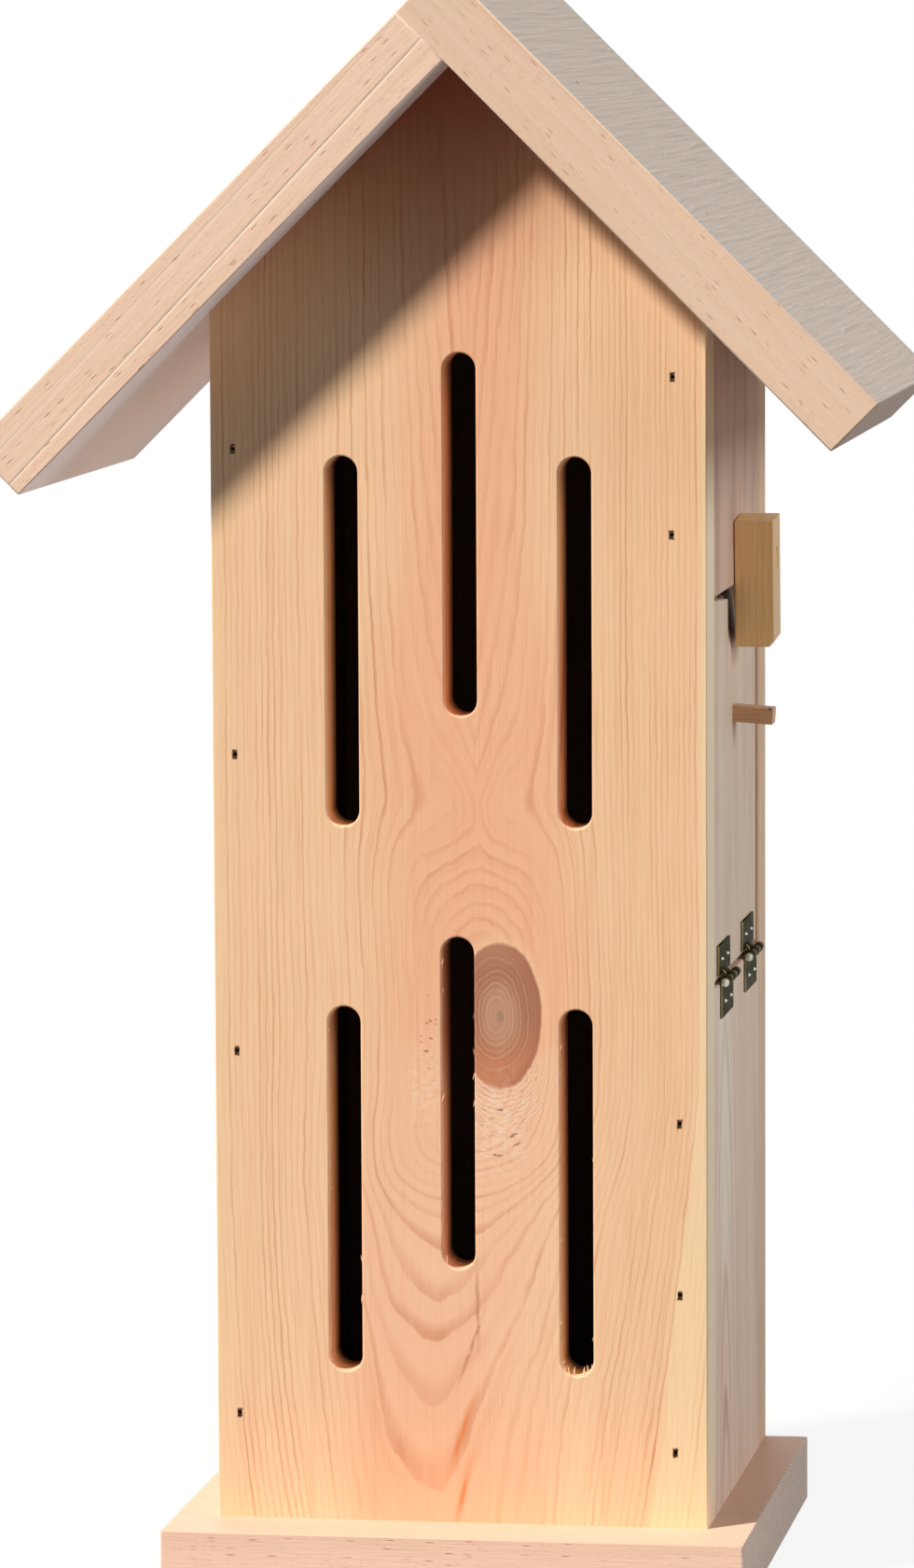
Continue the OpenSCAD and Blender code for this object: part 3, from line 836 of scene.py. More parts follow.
    def draw_streaks(
        self, sheet: NodeSheet, x: Field, h: Field, colour: Colour, fibre: Field
    ) -> Colour:
        """Draws the broken brown vein and the resin streaks low on the board.

        Args:
            sheet: The material's sheet.
            x: Place across the board.
            h: Height on the board.
            colour: The board's colour so far.
            fibre: The board's fine fibre noise.

        Returns:
            The new colour.
        """
        broken = sheet.noise(x / 3, 0.0, h / 4.5)
        vein = (x - 5.0 + (h - 72.0) * 0.02 + broken * 0.6).bell(0.5) * (h - 67.0).bell(11.0)
        vein = vein + (x - 2.5 - (h - 52.0) * 0.36 + broken * 0.6).bell(0.5) * (h - 52.0).bell(9.0)
        vein = vein * (broken + 0.35).rise(0.0, 0.4, 0.25, 1.0)
        colour = sheet.blend((vein * 0.75).at_most(0.7), colour, self.vein)
        streak = (x - 0.3 - (h - 28.0) * 0.33).bell(1.1) * (h - 27.0).bell(10.0)
        streak = streak + (x - 0.6 - (h - 10.0) * 0.24).bell(0.9) * (h - 9.0).bell(8.0)
        return sheet.blend((streak * (0.75 + fibre * 0.5)).at_most(0.8), colour, self.resin)


@dataclass(frozen=True)
class StraightPineFinish:
    """Planed pine of a board that shows plain upright grain.

    The rings lie round a heart outside the board, which leans, so that its arcs show on the end
    grain and long flames on a face that is near the heart.
    """

    name: str
    heart_x_mm: float
    heart_y_mm: float
    lean: float = 0.02
    ring_mm: float = 2.6
    ground: Rgb = (238, 200, 166)
    line: Rgb = (204, 152, 116)
    streak: Rgb = (190, 134, 100)
    streak_share: float = 0.25
    seed: float = 0.0
    inner_x: float = CABIN_HALF
    indoor_shade_share: float = INDOOR_PAINTED_SHADE
    pale_y: float = 0.0
    pale_share: float = 0.0
    pale: Rgb = (252, 238, 214)
    relief_x: float = 73.9
    relief_shade_share: float = 0.0
    relief_painted_shade: Rgb = (92, 56, 38)

    def make(self) -> bpy.types.Material:
        """Builds the material.

        Returns:
            The finished material.
        """
        sheet = NodeSheet(self.name)
        x, y, z = sheet.place()
        sway = sheet.noise(x / 50 + self.seed, y / 50, z / 130)
        dx = x - self.heart_x_mm + z * self.lean
        dy = y - self.heart_y_mm + sway * 5.0
        fine = sheet.noise(x / 6, y / 6 + self.seed, z / 40) * 0.35
        rings = ((dx * dx + dy * dy).sqrt() + fine) / self.ring_mm
        growth = rings.fract()
        luck = sheet.chance(rings.floor(), self.seed)
        late = growth.rise(0.45, 0.85) * growth.rise(0.92, 1.0, 1.0, 0.0) * (luck * 0.8 + 0.3)
        fibre = sheet.noise(x * 1.7, y * 1.7 + self.seed, z / 16, 3.0)
        cloud = sheet.noise(x / 20, y / 20 + self.seed, z / 90)
        colour = sheet.blend(late * 0.7, self.ground, self.line)
        broad = (cloud + 0.1).rise(0.0, 0.55) * self.streak_share
        colour = sheet.blend(broad, colour, self.streak)
        colour = sheet.blend((fibre * 0.5 + 0.1).rise(0.0, 0.5, 0.0, 0.2), colour, self.streak)
        if self.pale_share:
            flame = (y - self.pale_y).bell(19.0) * z.rise(75.0, 125.0) * self.pale_share
            colour = sheet.blend(flame, colour, self.pale)
        # Painted shade in the recess beside the turn button, where the button shades the door.
        if self.relief_shade_share:
            cut = (self.relief_x - x).rise(0.0, 0.7) * x.rise(66.0, 70.0) * z.rise(277.0, 283.0)
            cut = cut * (y - CABIN_MIDDLE_Y).abs().rise(15.3, 14.8) * self.relief_shade_share
            colour = sheet.blend(cut, colour, self.relief_painted_shade)
        # Painted shade on the faces inside the cabin; the door's inner face gets only a little.
        indoor_shade_mask = sheet.indoor_shade_mask(self.inner_x) * self.indoor_shade_share
        colour = sheet.blend(indoor_shade_mask, colour, INDOOR_PAINTED_SHADE_COLOUR)
        height = late * 0.5 + fibre * 0.5
        return sheet.close(colour, fibre * 0.05 + 0.66, sheet.bump(height, 0.06), 0.15)


@dataclass(frozen=True)
class Tint:
    """A flat tone over one face of a board: the end grain's own tone, and painted shade and light on
    faces.
    """

    start: float
    end: float
    colour: Rgb
    share: float


@dataclass(frozen=True)
class BeechFinish:
    """Bare beech: an even ground with short dark flecks along the grain.

    The pattern is turned with the board: its first coordinate runs along the board, the third one
    from the board's underside to its outer face.
    """

    name: str
    turn_deg: float = 0.0
    ground: Rgb = (238, 205, 180)
    shade: Rgb = (226, 188, 160)
    fleck: Rgb = (192, 140, 110)
    pale: Rgb = (246, 218, 190)
    end_grain: Rgb = (156, 128, 110)
    saw_line: Rgb = (196, 178, 160)
    saw_nick: Rgb = (240, 230, 218)
    score_painted_shadow: Rgb = (170, 122, 92)
    score_painted_highlight: Rgb = (255, 238, 214)
    heart_v: float = 160.0
    heart_w: float = -60.0
    ring_mm: float = 4.2
    # Painted shade: the roofs' outer faces are greyed, standing for the cool light on them.
    outer_painted_shade: Tint = Tint(345.5, 345.9, (218, 202, 188), 0.75)
    # Painted light: the roofs' undersides are paler, standing for light bounced up onto them.
    under_painted_lighting: Tint = Tint(326.4, 326.0, (246, 234, 228), 0.85)
    low_end: Tint = Tint(144.4, 144.1, (190, 168, 150), 0.85)
    saw_marks: float = 0.0
    scored_mm: tuple[float, ...] = ()
    scored_from: float = 144.0
    scored_slope: float = 0.027
    seed: float = 0.0

    def make(self) -> bpy.types.Material:
        """Builds the material.

        Returns:
            The finished material.
        """
        sheet = NodeSheet(self.name)
        u, v, w = sheet.place((0.0, self.turn_deg, 0.0))
        sway = sheet.noise(u / 120, v / 30, w / 30 + self.seed)
        dv = v - self.heart_v
        dw = w - self.heart_w + sway * 6.0
        rings = (dv * dv + dw * dw).sqrt() / self.ring_mm
        growth = rings.fract()
        late = growth.rise(0.2, 0.9) * growth.rise(0.94, 1.0, 1.0, 0.0)
        fibre = sheet.noise(u / 14, v * 1.5, w * 1.5 + self.seed, 3.0)
        cloud = sheet.noise(u / 60, v / 14, w / 9 + self.seed)
        bend = w + u * 0.03 + sway * 2.0
        near, luck = sheet.cells(u / 6.0, v / 0.9 + self.seed, bend / 0.9)
        fleck = near.rise(0.34, 0.1) * luck.rise(0.6, 0.9)
        small, small_luck = sheet.cells(u / 2.4 + 7.0, v / 0.6, bend / 0.6 + self.seed)
        pore = small.rise(0.32, 0.12) * small_luck.rise(0.5, 0.56)
        worn = sheet.noise(u / 22, v / 3, bend / 2.4)
        shaded = late * 0.25 + cloud.rise(0.0, 0.6, 0.0, 0.4)
        colour = sheet.blend(shaded, self.ground, self.shade)
        colour = sheet.blend((fibre * 0.5 + 0.1).rise(0.0, 0.5, 0.0, 0.3), colour, self.shade)
        colour = sheet.blend(worn.rise(0.1, 0.6, 0.0, 0.35), colour, self.pale)
        colour = sheet.blend(pore * 0.3 + fleck * 0.7, colour, self.fleck)
        saw = sheet.noise(u / 1.5, v / 70, w / 60, 3.0)
        nick = sheet.noise(u / 0.8 + v * 0.12, v / 30, w / 60)
        # Flat tones: painted shade on the outer face, painted lighting on the underside, and the end
        # grain's own tone.
        for tint, along in ((self.outer_painted_shade, w), (self.under_painted_lighting, w), (self.low_end, u)):
            on_face = along.rise(tint.start, tint.end)
            colour = sheet.blend(on_face * tint.share, colour, tint.colour)
        low = self.low_end
        end_grain = late * 0.45 + fibre.rise(-0.2, 0.4, 0.0, 0.35)
        end_grain = end_grain * u.rise(low.start, low.end) + worn.rise(0.2, 0.6, 0.0, 0.1)
        colour = sheet.blend(end_grain.at_most(0.6), colour, self.end_grain)
        rough_face = w.rise(self.outer_painted_shade.start, self.outer_painted_shade.end) * self.saw_marks
        colour = sheet.blend(saw.rise(0.05, 0.5, 0.0, 0.5) * rough_face, colour, self.saw_line)
        colour = sheet.blend(nick.rise(0.2, 0.5, 0.0, 0.4) * rough_face, colour, self.saw_nick)
        score: Number = 0.0
        # Painted shadow below and painted highlight above each scored groove.
        for count, scored in enumerate(self.scored_mm, 1):
            off = w - scored - (u - self.scored_from) * self.scored_slope
            colour = sheet.blend((off + 0.28).bell(0.22) * 0.12, colour, self.score_painted_shadow)
            colour = sheet.blend((off - 0.22).bell(0.24) * (0.8 / count), colour, self.score_painted_highlight)
            score = score + off.bell(0.4) * (1.0 / count)
        # Painted shade on the faces inside the cabin.
        colour = sheet.blend(sheet.indoor_shade_mask() * INDOOR_PAINTED_SHADE, colour, INDOOR_PAINTED_SHADE_COLOUR)
        height = fibre * 0.5 - fleck * (0.8 - rough_face * 0.7) + saw * rough_face * 1.2
        height = height - score * 1.5
        return sheet.close(colour, fibre * 0.05 + 0.68, sheet.bump(height, 0.08), 0.15)


@dataclass(frozen=True)
class StripWoodFinish:
    """Brown wood of a small part, with close streaks along its length."""

    name: str
    along_x: bool
    turn_deg: Point
    ground: Rgb
    streak: Rgb
    nick: Point = (0.0, 0.0, 0.0)
    nick_brown: Rgb = (58, 34, 24)
    # Painted shade on the outer face; by default it shows nothing.
    outer_painted_shade: Tint = Tint(200.0, 201.0, (206, 166, 124), 0.0)

    def make(self) -> bpy.types.Material:
        """Builds the material.

        Returns:
            The finished material.
        """
        sheet = NodeSheet(self.name)
        plain = sheet.place()
        x, y, z = sheet.place(self.turn_deg)
        long_way, cross_way = (x, z) if self.along_x else (z, x)
        fibre = sheet.noise(cross_way * 0.9, y * 0.9, long_way / 18, 4.0)
        grain = sheet.noise(cross_way * 0.35, y * 0.35, long_way / 60)
        lines = (cross_way * 0.42 + y * 0.25 + grain * 1.6).fract()
        late = lines.rise(0.4, 0.85) * lines.rise(0.92, 1.0, 1.0, 0.0)
        colour = sheet.blend(late * 0.4, self.ground, self.streak)
        colour = sheet.blend((fibre + 0.15).rise(0.0, 0.6, 0.0, 0.45), colour, self.streak)
        face = self.outer_painted_shade
        colour = sheet.blend(plain[0].rise(face.start, face.end) * face.share, colour, face.colour)
        away = [(place - spot).abs() for place, spot in zip(plain, self.nick)]
        spot = (away[0] + away[1] * 0.2 + away[2]).rise(0.9, 0.4)
        colour = sheet.blend(spot * 0.85, colour, self.nick_brown)
        height = late * 0.5 + fibre * 0.6 - spot
        return sheet.close(colour, fibre * 0.06 + 0.6, sheet.bump(height, 0.06), 0.25)


@dataclass(frozen=True)
class MetalFinish:
    """Thin plated metal, dulled in clouds and finely scratched."""

    name: str
    ground: Rgb
    dull: Rgb
    roughness: float
    grazing: Rgb = (255, 255, 255)

    def make(self) -> bpy.types.Material:
        """Builds the material.

        Returns:
            The finished material.
        """
        sheet = NodeSheet(self.name)
        x, y, z = sheet.place()
        cloud = sheet.noise(x / 5.0, y / 5.0, z / 5.0, 3.0)
        scratch = sheet.noise(x * 2.0, y / 4.0, z * 6.0)
        colour = sheet.blend((cloud + 0.15).rise(-0.1, 0.7, 0.0, 0.6), self.ground, self.dull)
        rough = cloud * 0.16 + scratch * 0.05 + self.roughness
        normal = sheet.bump(cloud * 0.4 + scratch * 0.3, 0.02)
        return sheet.close(colour, rough, normal, 0.5, 1.0, self.grazing)


@dataclass(frozen=True)
class Finishes:
    """Every finish of the house, each made once."""

    front: bpy.types.Material
    back: bpy.types.Material
    left_wall: bpy.types.Material
    right_low: bpy.types.Material
    right_high: bpy.types.Material
    door: bpy.types.Material
    roof_left: bpy.types.Material
    roof_right: bpy.types.Material
    base: bpy.types.Material
    button: bpy.types.Material
    pull: bpy.types.Material
    hinge: bpy.types.Material
    zinc: bpy.types.Material
    wire: bpy.types.Material

    @classmethod
    def mixed(cls) -> "Finishes":
        """Makes them all.

        Returns:
            The finishes.
        """
        return cls(
            front=FrontPineFinish().make(),
            back=StraightPineFinish("back_pine", 20.0, 190.0, 0.03, seed=1.7).make(),
            left_wall=StraightPineFinish("left_wall_pine", -170.0, 30.0, 0.02, seed=4.1).make(),
            right_low=StraightPineFinish(
                "right_lower_pine", 52.0, -19.0, 0.07, 2.7, ground=(248, 216, 190),
                line=(198, 142, 118), streak=(206, 150, 126), streak_share=0.35, seed=6.3,
                pale_y=-21.0, pale_share=0.6,
            ).make(),
            # Painted shade: the upper right board's darker ground and streaks stand for the roof's
            # shadow on it.
            right_high=StraightPineFinish(
                "right_upper_pine_painted_shade", 110.0, -60.0, 0.02, ground=(226, 190, 164), line=(196, 150, 124),
                streak=(168, 122, 102), streak_share=0.5, seed=8.9,
            ).make(),
            door=StraightPineFinish(
                "door_pine", 60.0, 150.0, 0.01, 3.2, ground=(241, 214, 188), line=(216, 174, 146),
                seed=2.2, inner_x=62.0, indoor_shade_share=0.15, relief_shade_share=0.8,
            ).make(),
            roof_left=BeechFinish(
                "left_roof_beech", 45.0, ground=(248, 214, 190), shade=(236, 198, 172),
                # Painted light: the left board's underside is paler and cooler.
                under_painted_lighting=Tint(326.4, 326.0, (238, 232, 234), 0.85), scored_mm=(330.1, 339.2),
                saw_marks=0.6, seed=1.0,
            ).make(),
            roof_right=BeechFinish(
                "right_roof_beech", -45.0, low_end=Tint(-164.4, -164.1, (172, 154, 142), 0.85),
                saw_marks=1.0, seed=5.0,
            ).make(),
            base=BeechFinish(
                "base_beech", 0.0, ground=(253, 211, 187),
                # Painted shade: the base's top is darker where the key lamp falls on it most.
                outer_painted_shade=Tint(19.3, 19.7, (224, 182, 156), 0.75),
                # On the base's hidden underside the tone is darker instead.
                under_painted_lighting=Tint(0.5, 0.2, (228, 200, 178), 0.5),
                low_end=Tint(87.6, 88.0, (246, 220, 202), 0.65), saw_marks=0.0, seed=9.0,
            ).make(),
            button=StripWoodFinish(
                "button_wood", False, (-4.0, 0.0, 0.0), (255, 212, 150), (252, 190, 128),
                # Painted shade on the button's outer face.
                outer_painted_shade=Tint(87.0, 87.2, (202, 164, 124), 0.6),
            ).make(),
            pull=StripWoodFinish(
                "pull_wood", True, (0.0, 4.0, 0.0), (222, 174, 134), (190, 134, 98),
                nick=(85.6, 8.0, 261.6),
            ).make(),
            hinge=MetalFinish(
                "hinge_plating", (122, 116, 82), (66, 62, 42), 0.28, grazing=(84, 82, 60)
            ).make(),
            zinc=MetalFinish("zinc_plating", (206, 208, 200), (150, 152, 144), 0.28).make(),
            wire=MetalFinish("brad_wire", (132, 104, 82), (74, 54, 40), 0.55).make(),
        )


def settle(piece: bpy.types.Object, body: Body, slot: Slot, *nodes: str) -> bpy.types.Object:
    """Puts a finished piece on its body, and hides the CAD nodes it replaces.

    Args:
        piece: The finished piece.
        body: The body it moves with.
        slot: Not used.
        *nodes: The CAD nodes it replaces.

    Returns:
        The same piece.
    """
    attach(piece, body.value)
    if nodes:
        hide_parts(*nodes)
    LOG.info("piece %s on %s, %d faces", piece.name, body.value, len(piece.data.polygons))
    return piece


def shown(mesh: bpy.types.Mesh, name: str, material: bpy.types.Material) -> bpy.types.Object:
    """Makes a shown object of a mesh, with one material.

    Args:
        mesh: The mesh, with its place in it.
        name: The piece's name.
        material: Its finish.

    Returns:
        The new object.
    """
    mesh.name = name
    mesh.materials.clear()
    mesh.materials.append(material)
    for polygon in mesh.polygons:
        polygon.material_index = 0
    piece = bpy.data.objects.new(name, mesh)
    bpy.context.scene.collection.objects.link(piece)
    return piece


@dataclass
class Easing:
    """Copies a CAD node, merges its loose triangles into flat faces and eases its edges."""

    width_mm: float = 0.4
    rounds: int = 2
    flat_deg: float = 0.4
    edge_deg: float = 28.0
    smooth_deg: float = 50.0
    narrow_mm: float = 1.0
    weld_mm: float = 0.002
    level_rad: float = 0.01
    level_rounds: int = 3

    def copy_of(
        self,
        node: str,
        name: str,
        material: bpy.types.Material,
        skip: Callable[[Vector], bool] = lambda place: False,
        shape: Callable[[bmesh.types.BMesh], None] = lambda mesh: None,
    ) -> bpy.types.Object:
        """Makes the eased copy of a node.

        Args:
            node: The CAD node.
            name: The new piece's name.
            material: The new piece's finish.
            skip: Says of an edge's middle, in millimetres, whether it stays sharp.
            shape: A last change to the mesh before the edges are eased.

        Returns:
            The new object, at the origin.
        """
        mesh = bpy.data.meshes.new(name)
        work = bmesh.new()
        work.from_mesh(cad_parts[node].data)
        bmesh.ops.remove_doubles(work, verts=work.verts, dist=self.weld_mm * MM)
        bmesh.ops.dissolve_limit(
            work, angle_limit=math.radians(self.flat_deg), verts=work.verts, edges=work.edges
        )
        bmesh.ops.recalc_face_normals(work, faces=work.faces)
        shape(work)
        outer = [edge for edge in work.edges if self.is_outer(edge)]
        sharp = [edge for edge in outer if not skip(self.middle(edge))]
        if sharp:
            bmesh.ops.bevel(
                work, geom=sharp, offset=self.width_mm * MM, offset_type="OFFSET",
                segments=self.rounds, profile=0.5, affect="EDGES", clamp_overlap=False,
            )
        bmesh.ops.recalc_face_normals(work, faces=work.faces)
        flat = self.flat_faces(work)
        for face in work.faces:
            face.smooth = True
        for edge in work.edges:
            steep = edge.calc_face_angle(0.0) > math.radians(self.smooth_deg)
            edge.smooth = not steep and not any(face in flat for face in edge.link_faces)
        work.to_mesh(mesh)
        work.free()
        return shown(mesh, name, material)

    def flat_faces(self, work: bmesh.types.BMesh) -> set[bmesh.types.BMFace]:
        """Finds the flat faces, which the shading of the roundings must not run into.

        Args:
            work: The eased mesh.

        Returns:
            The wide faces, and the slivers that lie in one plane with them.
        """
        limit = self.narrow_mm * MM
        wide = {face for face in work.faces if face.calc_area() / face.calc_perimeter() > limit}
        level = [
            edge for edge in work.edges
            if len(edge.link_faces) == 2 and edge.calc_face_angle(0.0) < self.level_rad
        ]
        for _ in range(self.level_rounds):
            for edge in level:
                if any(face in wide for face in edge.link_faces):
                    wide.update(edge.link_faces)
        return wide

    def is_outer(self, edge: bmesh.types.BMEdge) -> bool:
        """Says whether an edge is an outer corner.

        Args:
            edge: The edge.

        Returns:
            Whether it is to be eased.
        """
        if len(edge.link_faces) != 2 or not edge.is_convex:
            return False
        return edge.calc_face_angle(0.0) > math.radians(self.edge_deg)

    @staticmethod
    def middle(edge: bmesh.types.BMEdge) -> Vector:
        """Gives an edge's middle in millimetres."""
        return (edge.verts[0].co + edge.verts[1].co) / 2 / MM


@dataclass
class BradPlan:
    """Where the brads sit, for the boards that keep their holes sharp and for the brads."""

    wall_x: float = 75.0
    front_y: float = -63.0
    back_y: float = 87.0
    floor_z: float = 20.0
    peak_z: float = 461.0
    board: float = 18.0
    set_in: float = 1.0
    left_inset: float = 6.8
    left_heights: tuple[float, ...] = (52.0, 163.0, 253.0, 345.0)
    right_heights: tuple[float, ...] = (43.0, 91.0, 143.0, 320.0, 367.0)
    right_insets: tuple[float, ...] = (9.9, 8.4, 8.5, 10.6, 10.3)
    roof_steps: tuple[float, ...] = (30.0, 85.0)
    roof_board: float = 20.0
    mouth_reach: float = 2.4

    def left_column(self, y: float) -> list[Point]:
        """Gives the left column of brads at a depth."""
        return [(self.left_inset - self.wall_x, y, z) for z in self.left_heights]

    def right_column(self, y: float) -> list[Point]:
        """Gives the right column of brads at a depth."""
        rows = zip(self.right_insets, self.right_heights)
        return [(self.wall_x - inset, y, z) for inset, z in rows]

    def roof(self, side: int) -> list[Point]:
        """Gives the heads of one roof board's brads.

        Args:
            side: 1 for the right board, -1 for the left one.

        Returns:
            The places of the heads.
        """
        out = (self.roof_board - self.set_in) * COS_45
        rows = (self.front_y + self.board / 2, self.back_y - self.board / 2)
        return [
            (side * (step * COS_45 + out), y, self.peak_z - step * COS_45 + out)
            for step in self.roof_steps
            for y in rows
        ]

    def near_hole(self, place: Vector) -> bool:
        """Says whether a place is at the mouth of a brad hole.

        Args:
            place: The place, in millimetres.

        Returns:
            Whether an edge there stays sharp.
        """
        mouths = self.left_column(place.y) + self.right_column(place.y)
        mouths += self.roof(1) + self.roof(-1)
        return any((place - Vector(mouth)).length < self.mouth_reach for mouth in mouths)


@dataclass
class Walls:
    """The five fixed boards of the box and the two stop strips of the door."""

    finishes: Finishes
    brads: BradPlan
    ease_mm: float = 0.45
    joint_reach: float = 0.5

    def build(self) -> None:
        """Builds and dresses the boards."""
        easing = Easing(self.ease_mm)
        rows = (
            ("front_panel", "front_board", self.finishes.front, Slot.FRONT_PINE),
            ("back_panel", "back_board", self.finishes.back, Slot.SIDE_PINE),
            ("left_side_panel", "left_wall_board", self.finishes.left_wall, Slot.SIDE_PINE),
            ("right_lower_panel", "right_lower_board", self.finishes.right_low, Slot.SIDE_PINE),
            ("right_upper_panel", "right_upper_board", self.finishes.right_high, Slot.SIDE_PINE),
            ("door_stop_front", "stop_strip_front", self.finishes.back, Slot.SIDE_PINE),
            ("door_stop_back", "stop_strip_back", self.finishes.back, Slot.SIDE_PINE),
        )
        for node, name, material, slot in rows:
            piece = easing.copy_of(node, name, material, self.keeps_sharp)
            settle(piece, Body.HOUSE, slot, node)

    def keeps_sharp(self, place: Vector) -> bool:
        """Says whether an edge stays sharp: at holes and where boards meet.

        Args:
            place: The edge's middle, in millimetres.

        Returns:
            Whether it stays sharp.
        """
        at_base = place.z < self.brads.floor_z + self.joint_reach
        under_roof = self.brads.peak_z - abs(place.x)
        at_roof = place.z > under_roof - self.joint_reach
        return at_base or at_roof or self.brads.near_hole(place)


@dataclass
class Roof:
    """The two roof boards."""

    finishes: Finishes
    brads: BradPlan
    ease_mm: float = 0.5
    front_y: float = -87.0
    low_end: float = 144.0
    high_end: float = 326.0
    groove_start: float = 330.1
    groove_slope: float = 0.027
    groove_half: float = 0.35
    groove_deep: float = 0.1
    groove_stop: float = 4.0
    groove_near: float = 0.02

    def build(self) -> None:
        """Builds and dresses both boards."""
        easing = Easing(self.ease_mm)
        left = easing.copy_of(
            "roof_board_left", "left_roof_board", self.finishes.roof_left,
            self.brads.near_hole, self.cut_groove,
        )
        settle(left, Body.HOUSE, Slot.ROOF_BEECH, "roof_board_left")
        right = easing.copy_of(
            "roof_board_right", "right_roof_board", self.finishes.roof_right, self.brads.near_hole
        )
        settle(right, Body.HOUSE, Slot.ROOF_BEECH, "roof_board_right")

    def cut_groove(self, work: bmesh.types.BMesh) -> None:
        """Cuts the long scored groove into the front edge of the left board.

        Args:
            work: The board's mesh, before its edges are eased.
        """
        slope = Vector((COS_45, 0.0, COS_45))
        outward = Vector((-COS_45, 0.0, COS_45))
        across = (outward - slope * self.groove_slope).normalized()
        middle = slope * self.low_end + outward * self.groove_start
        first, last = self.low_end + self.groove_stop, self.high_end - self.groove_stop
        sides = (-self.groove_half, 0.0, self.groove_half)
        cuts = [(middle + across * side, across) for side in sides]
        cuts += [(slope * first, slope), (slope * last, slope)]
        for place, normal in cuts:
            faces = [face for face in work.faces if face.normal.y < -0.99]
            edges = {edge for face in faces for edge in face.edges}
            verts = {vert for face in faces for vert in face.verts}
            bmesh.ops.bisect_plane(
                work, geom=[*faces, *edges, *verts], dist=TOUCH_M, plane_co=place * MM,
                plane_no=normal,
            )
        for vert in work.verts:
            place = vert.co / MM
            on_line = abs((place - middle).dot(across)) < self.groove_near
            on_face = abs(place.y - self.front_y) < self.groove_near
            if on_line and on_face and first - 0.1 < place.dot(slope) < last + 0.1:
                vert.co.y += self.groove_deep * MM


@dataclass
class Base:
    """The base board."""

    finishes: Finishes
    ease_mm: float = 0.5
    screw_reach: float = 6.0

    def build(self) -> None:
        """Builds and dresses the board."""
        piece = Easing(self.ease_mm).copy_of(
            "base_board", "ground_board", self.finishes.base, self.near_screw
        )
        settle(piece, Body.HOUSE, Slot.BASE_BEECH, "base_board")

    def near_screw(self, place: Vector) -> bool:
        """Says whether a place is at a screw hole."""
        ways = [math.hypot(abs(place.x) - BASE_SCREW_X, place.y - y) for y in BASE_SCREW_Y]
        return min(ways) < self.screw_reach


@dataclass
class AccessDoor:
    """The drop-down door and its pull."""

    finishes: Finishes
    ease_mm: float = 0.35
    pull_ease_mm: float = 0.22
    top_z: float = 298.7
    button_cut_y: float = -3.0
    worn_mm: float = 2.4
    cut_reach: float = 0.3
    pull_z: float = 260.0
    pull_reach: tuple[float, float] = (4.6, 5.0)
    leaf_screw_z: float = 188.4
    leaf_screw_x: tuple[float, float] = (60.0, 75.0)
    leaf_screw_reach: float = 1.6

    def build(self) -> None:
        """Builds and dresses the door and its pull."""
        door = Easing(self.ease_mm).copy_of(
            "access_door", "door_board", self.finishes.door, self.near_socket, self.wear_top
        )
        settle(door, Body.DOOR, Slot.SIDE_PINE, "access_door")
        pull = Easing(self.pull_ease_mm).copy_of("door_pull", "pull_strip", self.finishes.pull)
        settle(pull, Body.DOOR, Slot.PULL_WOOD, "door_pull")

    def wear_top(self, work: bmesh.types.BMesh) -> None:
        """Lowers the top edge beside the button's cut, where the button has worn the door.

        Args:
            work: The door's mesh, before its edges are eased.
        """
        for vert in work.verts:
            place = vert.co / MM
            at_cut = abs(place.y - self.button_cut_y) < self.cut_reach
            if at_cut and abs(place.z - self.top_z) < self.cut_reach:
                vert.co.z -= self.worn_mm * MM

    def near_socket(self, place: Vector) -> bool:
        """Says whether a place is at the pull's socket or a hinge screw.

        Args:
            place: The edge's middle, in millimetres.

        Returns:
            Whether it stays sharp.
        """
        beside, above = abs(place.y - CABIN_MIDDLE_Y), abs(place.z - self.pull_z)
        if beside < self.pull_reach[0] and above < self.pull_reach[1]:
            return True
        near_x = self.leaf_screw_x[0] < place.x < self.leaf_screw_x[1]
        near_z = abs(place.z - self.leaf_screw_z) < self.leaf_screw_reach
        near_y = min(abs(place.y - y) for y in LEAF_SCREW_Y) < self.leaf_screw_reach
        return near_x and near_y and near_z


@dataclass
class TurnButton:
    """The turn button; its pivot screw is among the fasteners."""

    finishes: Finishes
    ease_mm: float = 0.35
    ease_rounds: int = 3
    screw_reach: float = 4.2

    def build(self) -> None:
        """Builds and dresses the button."""
        button = Easing(self.ease_mm, self.ease_rounds).copy_of(
            "turn_button", "turning_bar", self.finishes.button, self.near_screw
        )
        settle(button, Body.BUTTON, Slot.BUTTON_WOOD, "turn_button")

    def near_screw(self, place: Vector) -> bool:
        """Says whether a place is at the pivot hole."""
        return math.hypot(place.y - CABIN_MIDDLE_Y, place.z - PIVOT_Z) < self.screw_reach


@dataclass
class Hinge:
    """One butt hinge: two leaves and a pin."""

    finishes: Finishes
    name: str
    ease_mm: float = 0.14

    def build(self) -> None:
        """Builds and dresses the leaves and the pin."""
        easing = Easing(self.ease_mm)
        rows = (
            ("wall_leaf", Body.HOUSE, Slot.HINGE_BRASS, self.finishes.hinge),
            ("door_leaf", Body.DOOR, Slot.HINGE_BRASS, self.finishes.hinge),
            ("pin", Body.HOUSE, Slot.SCREW_STEEL, self.finishes.zinc),
        )
        for part, body, slot, material in rows:
            node = f"{self.name}_hinge_{part}"
            piece = easing.copy_of(node, f"{self.name}_{part}_dressed", material)
            settle(piece, body, slot, node)


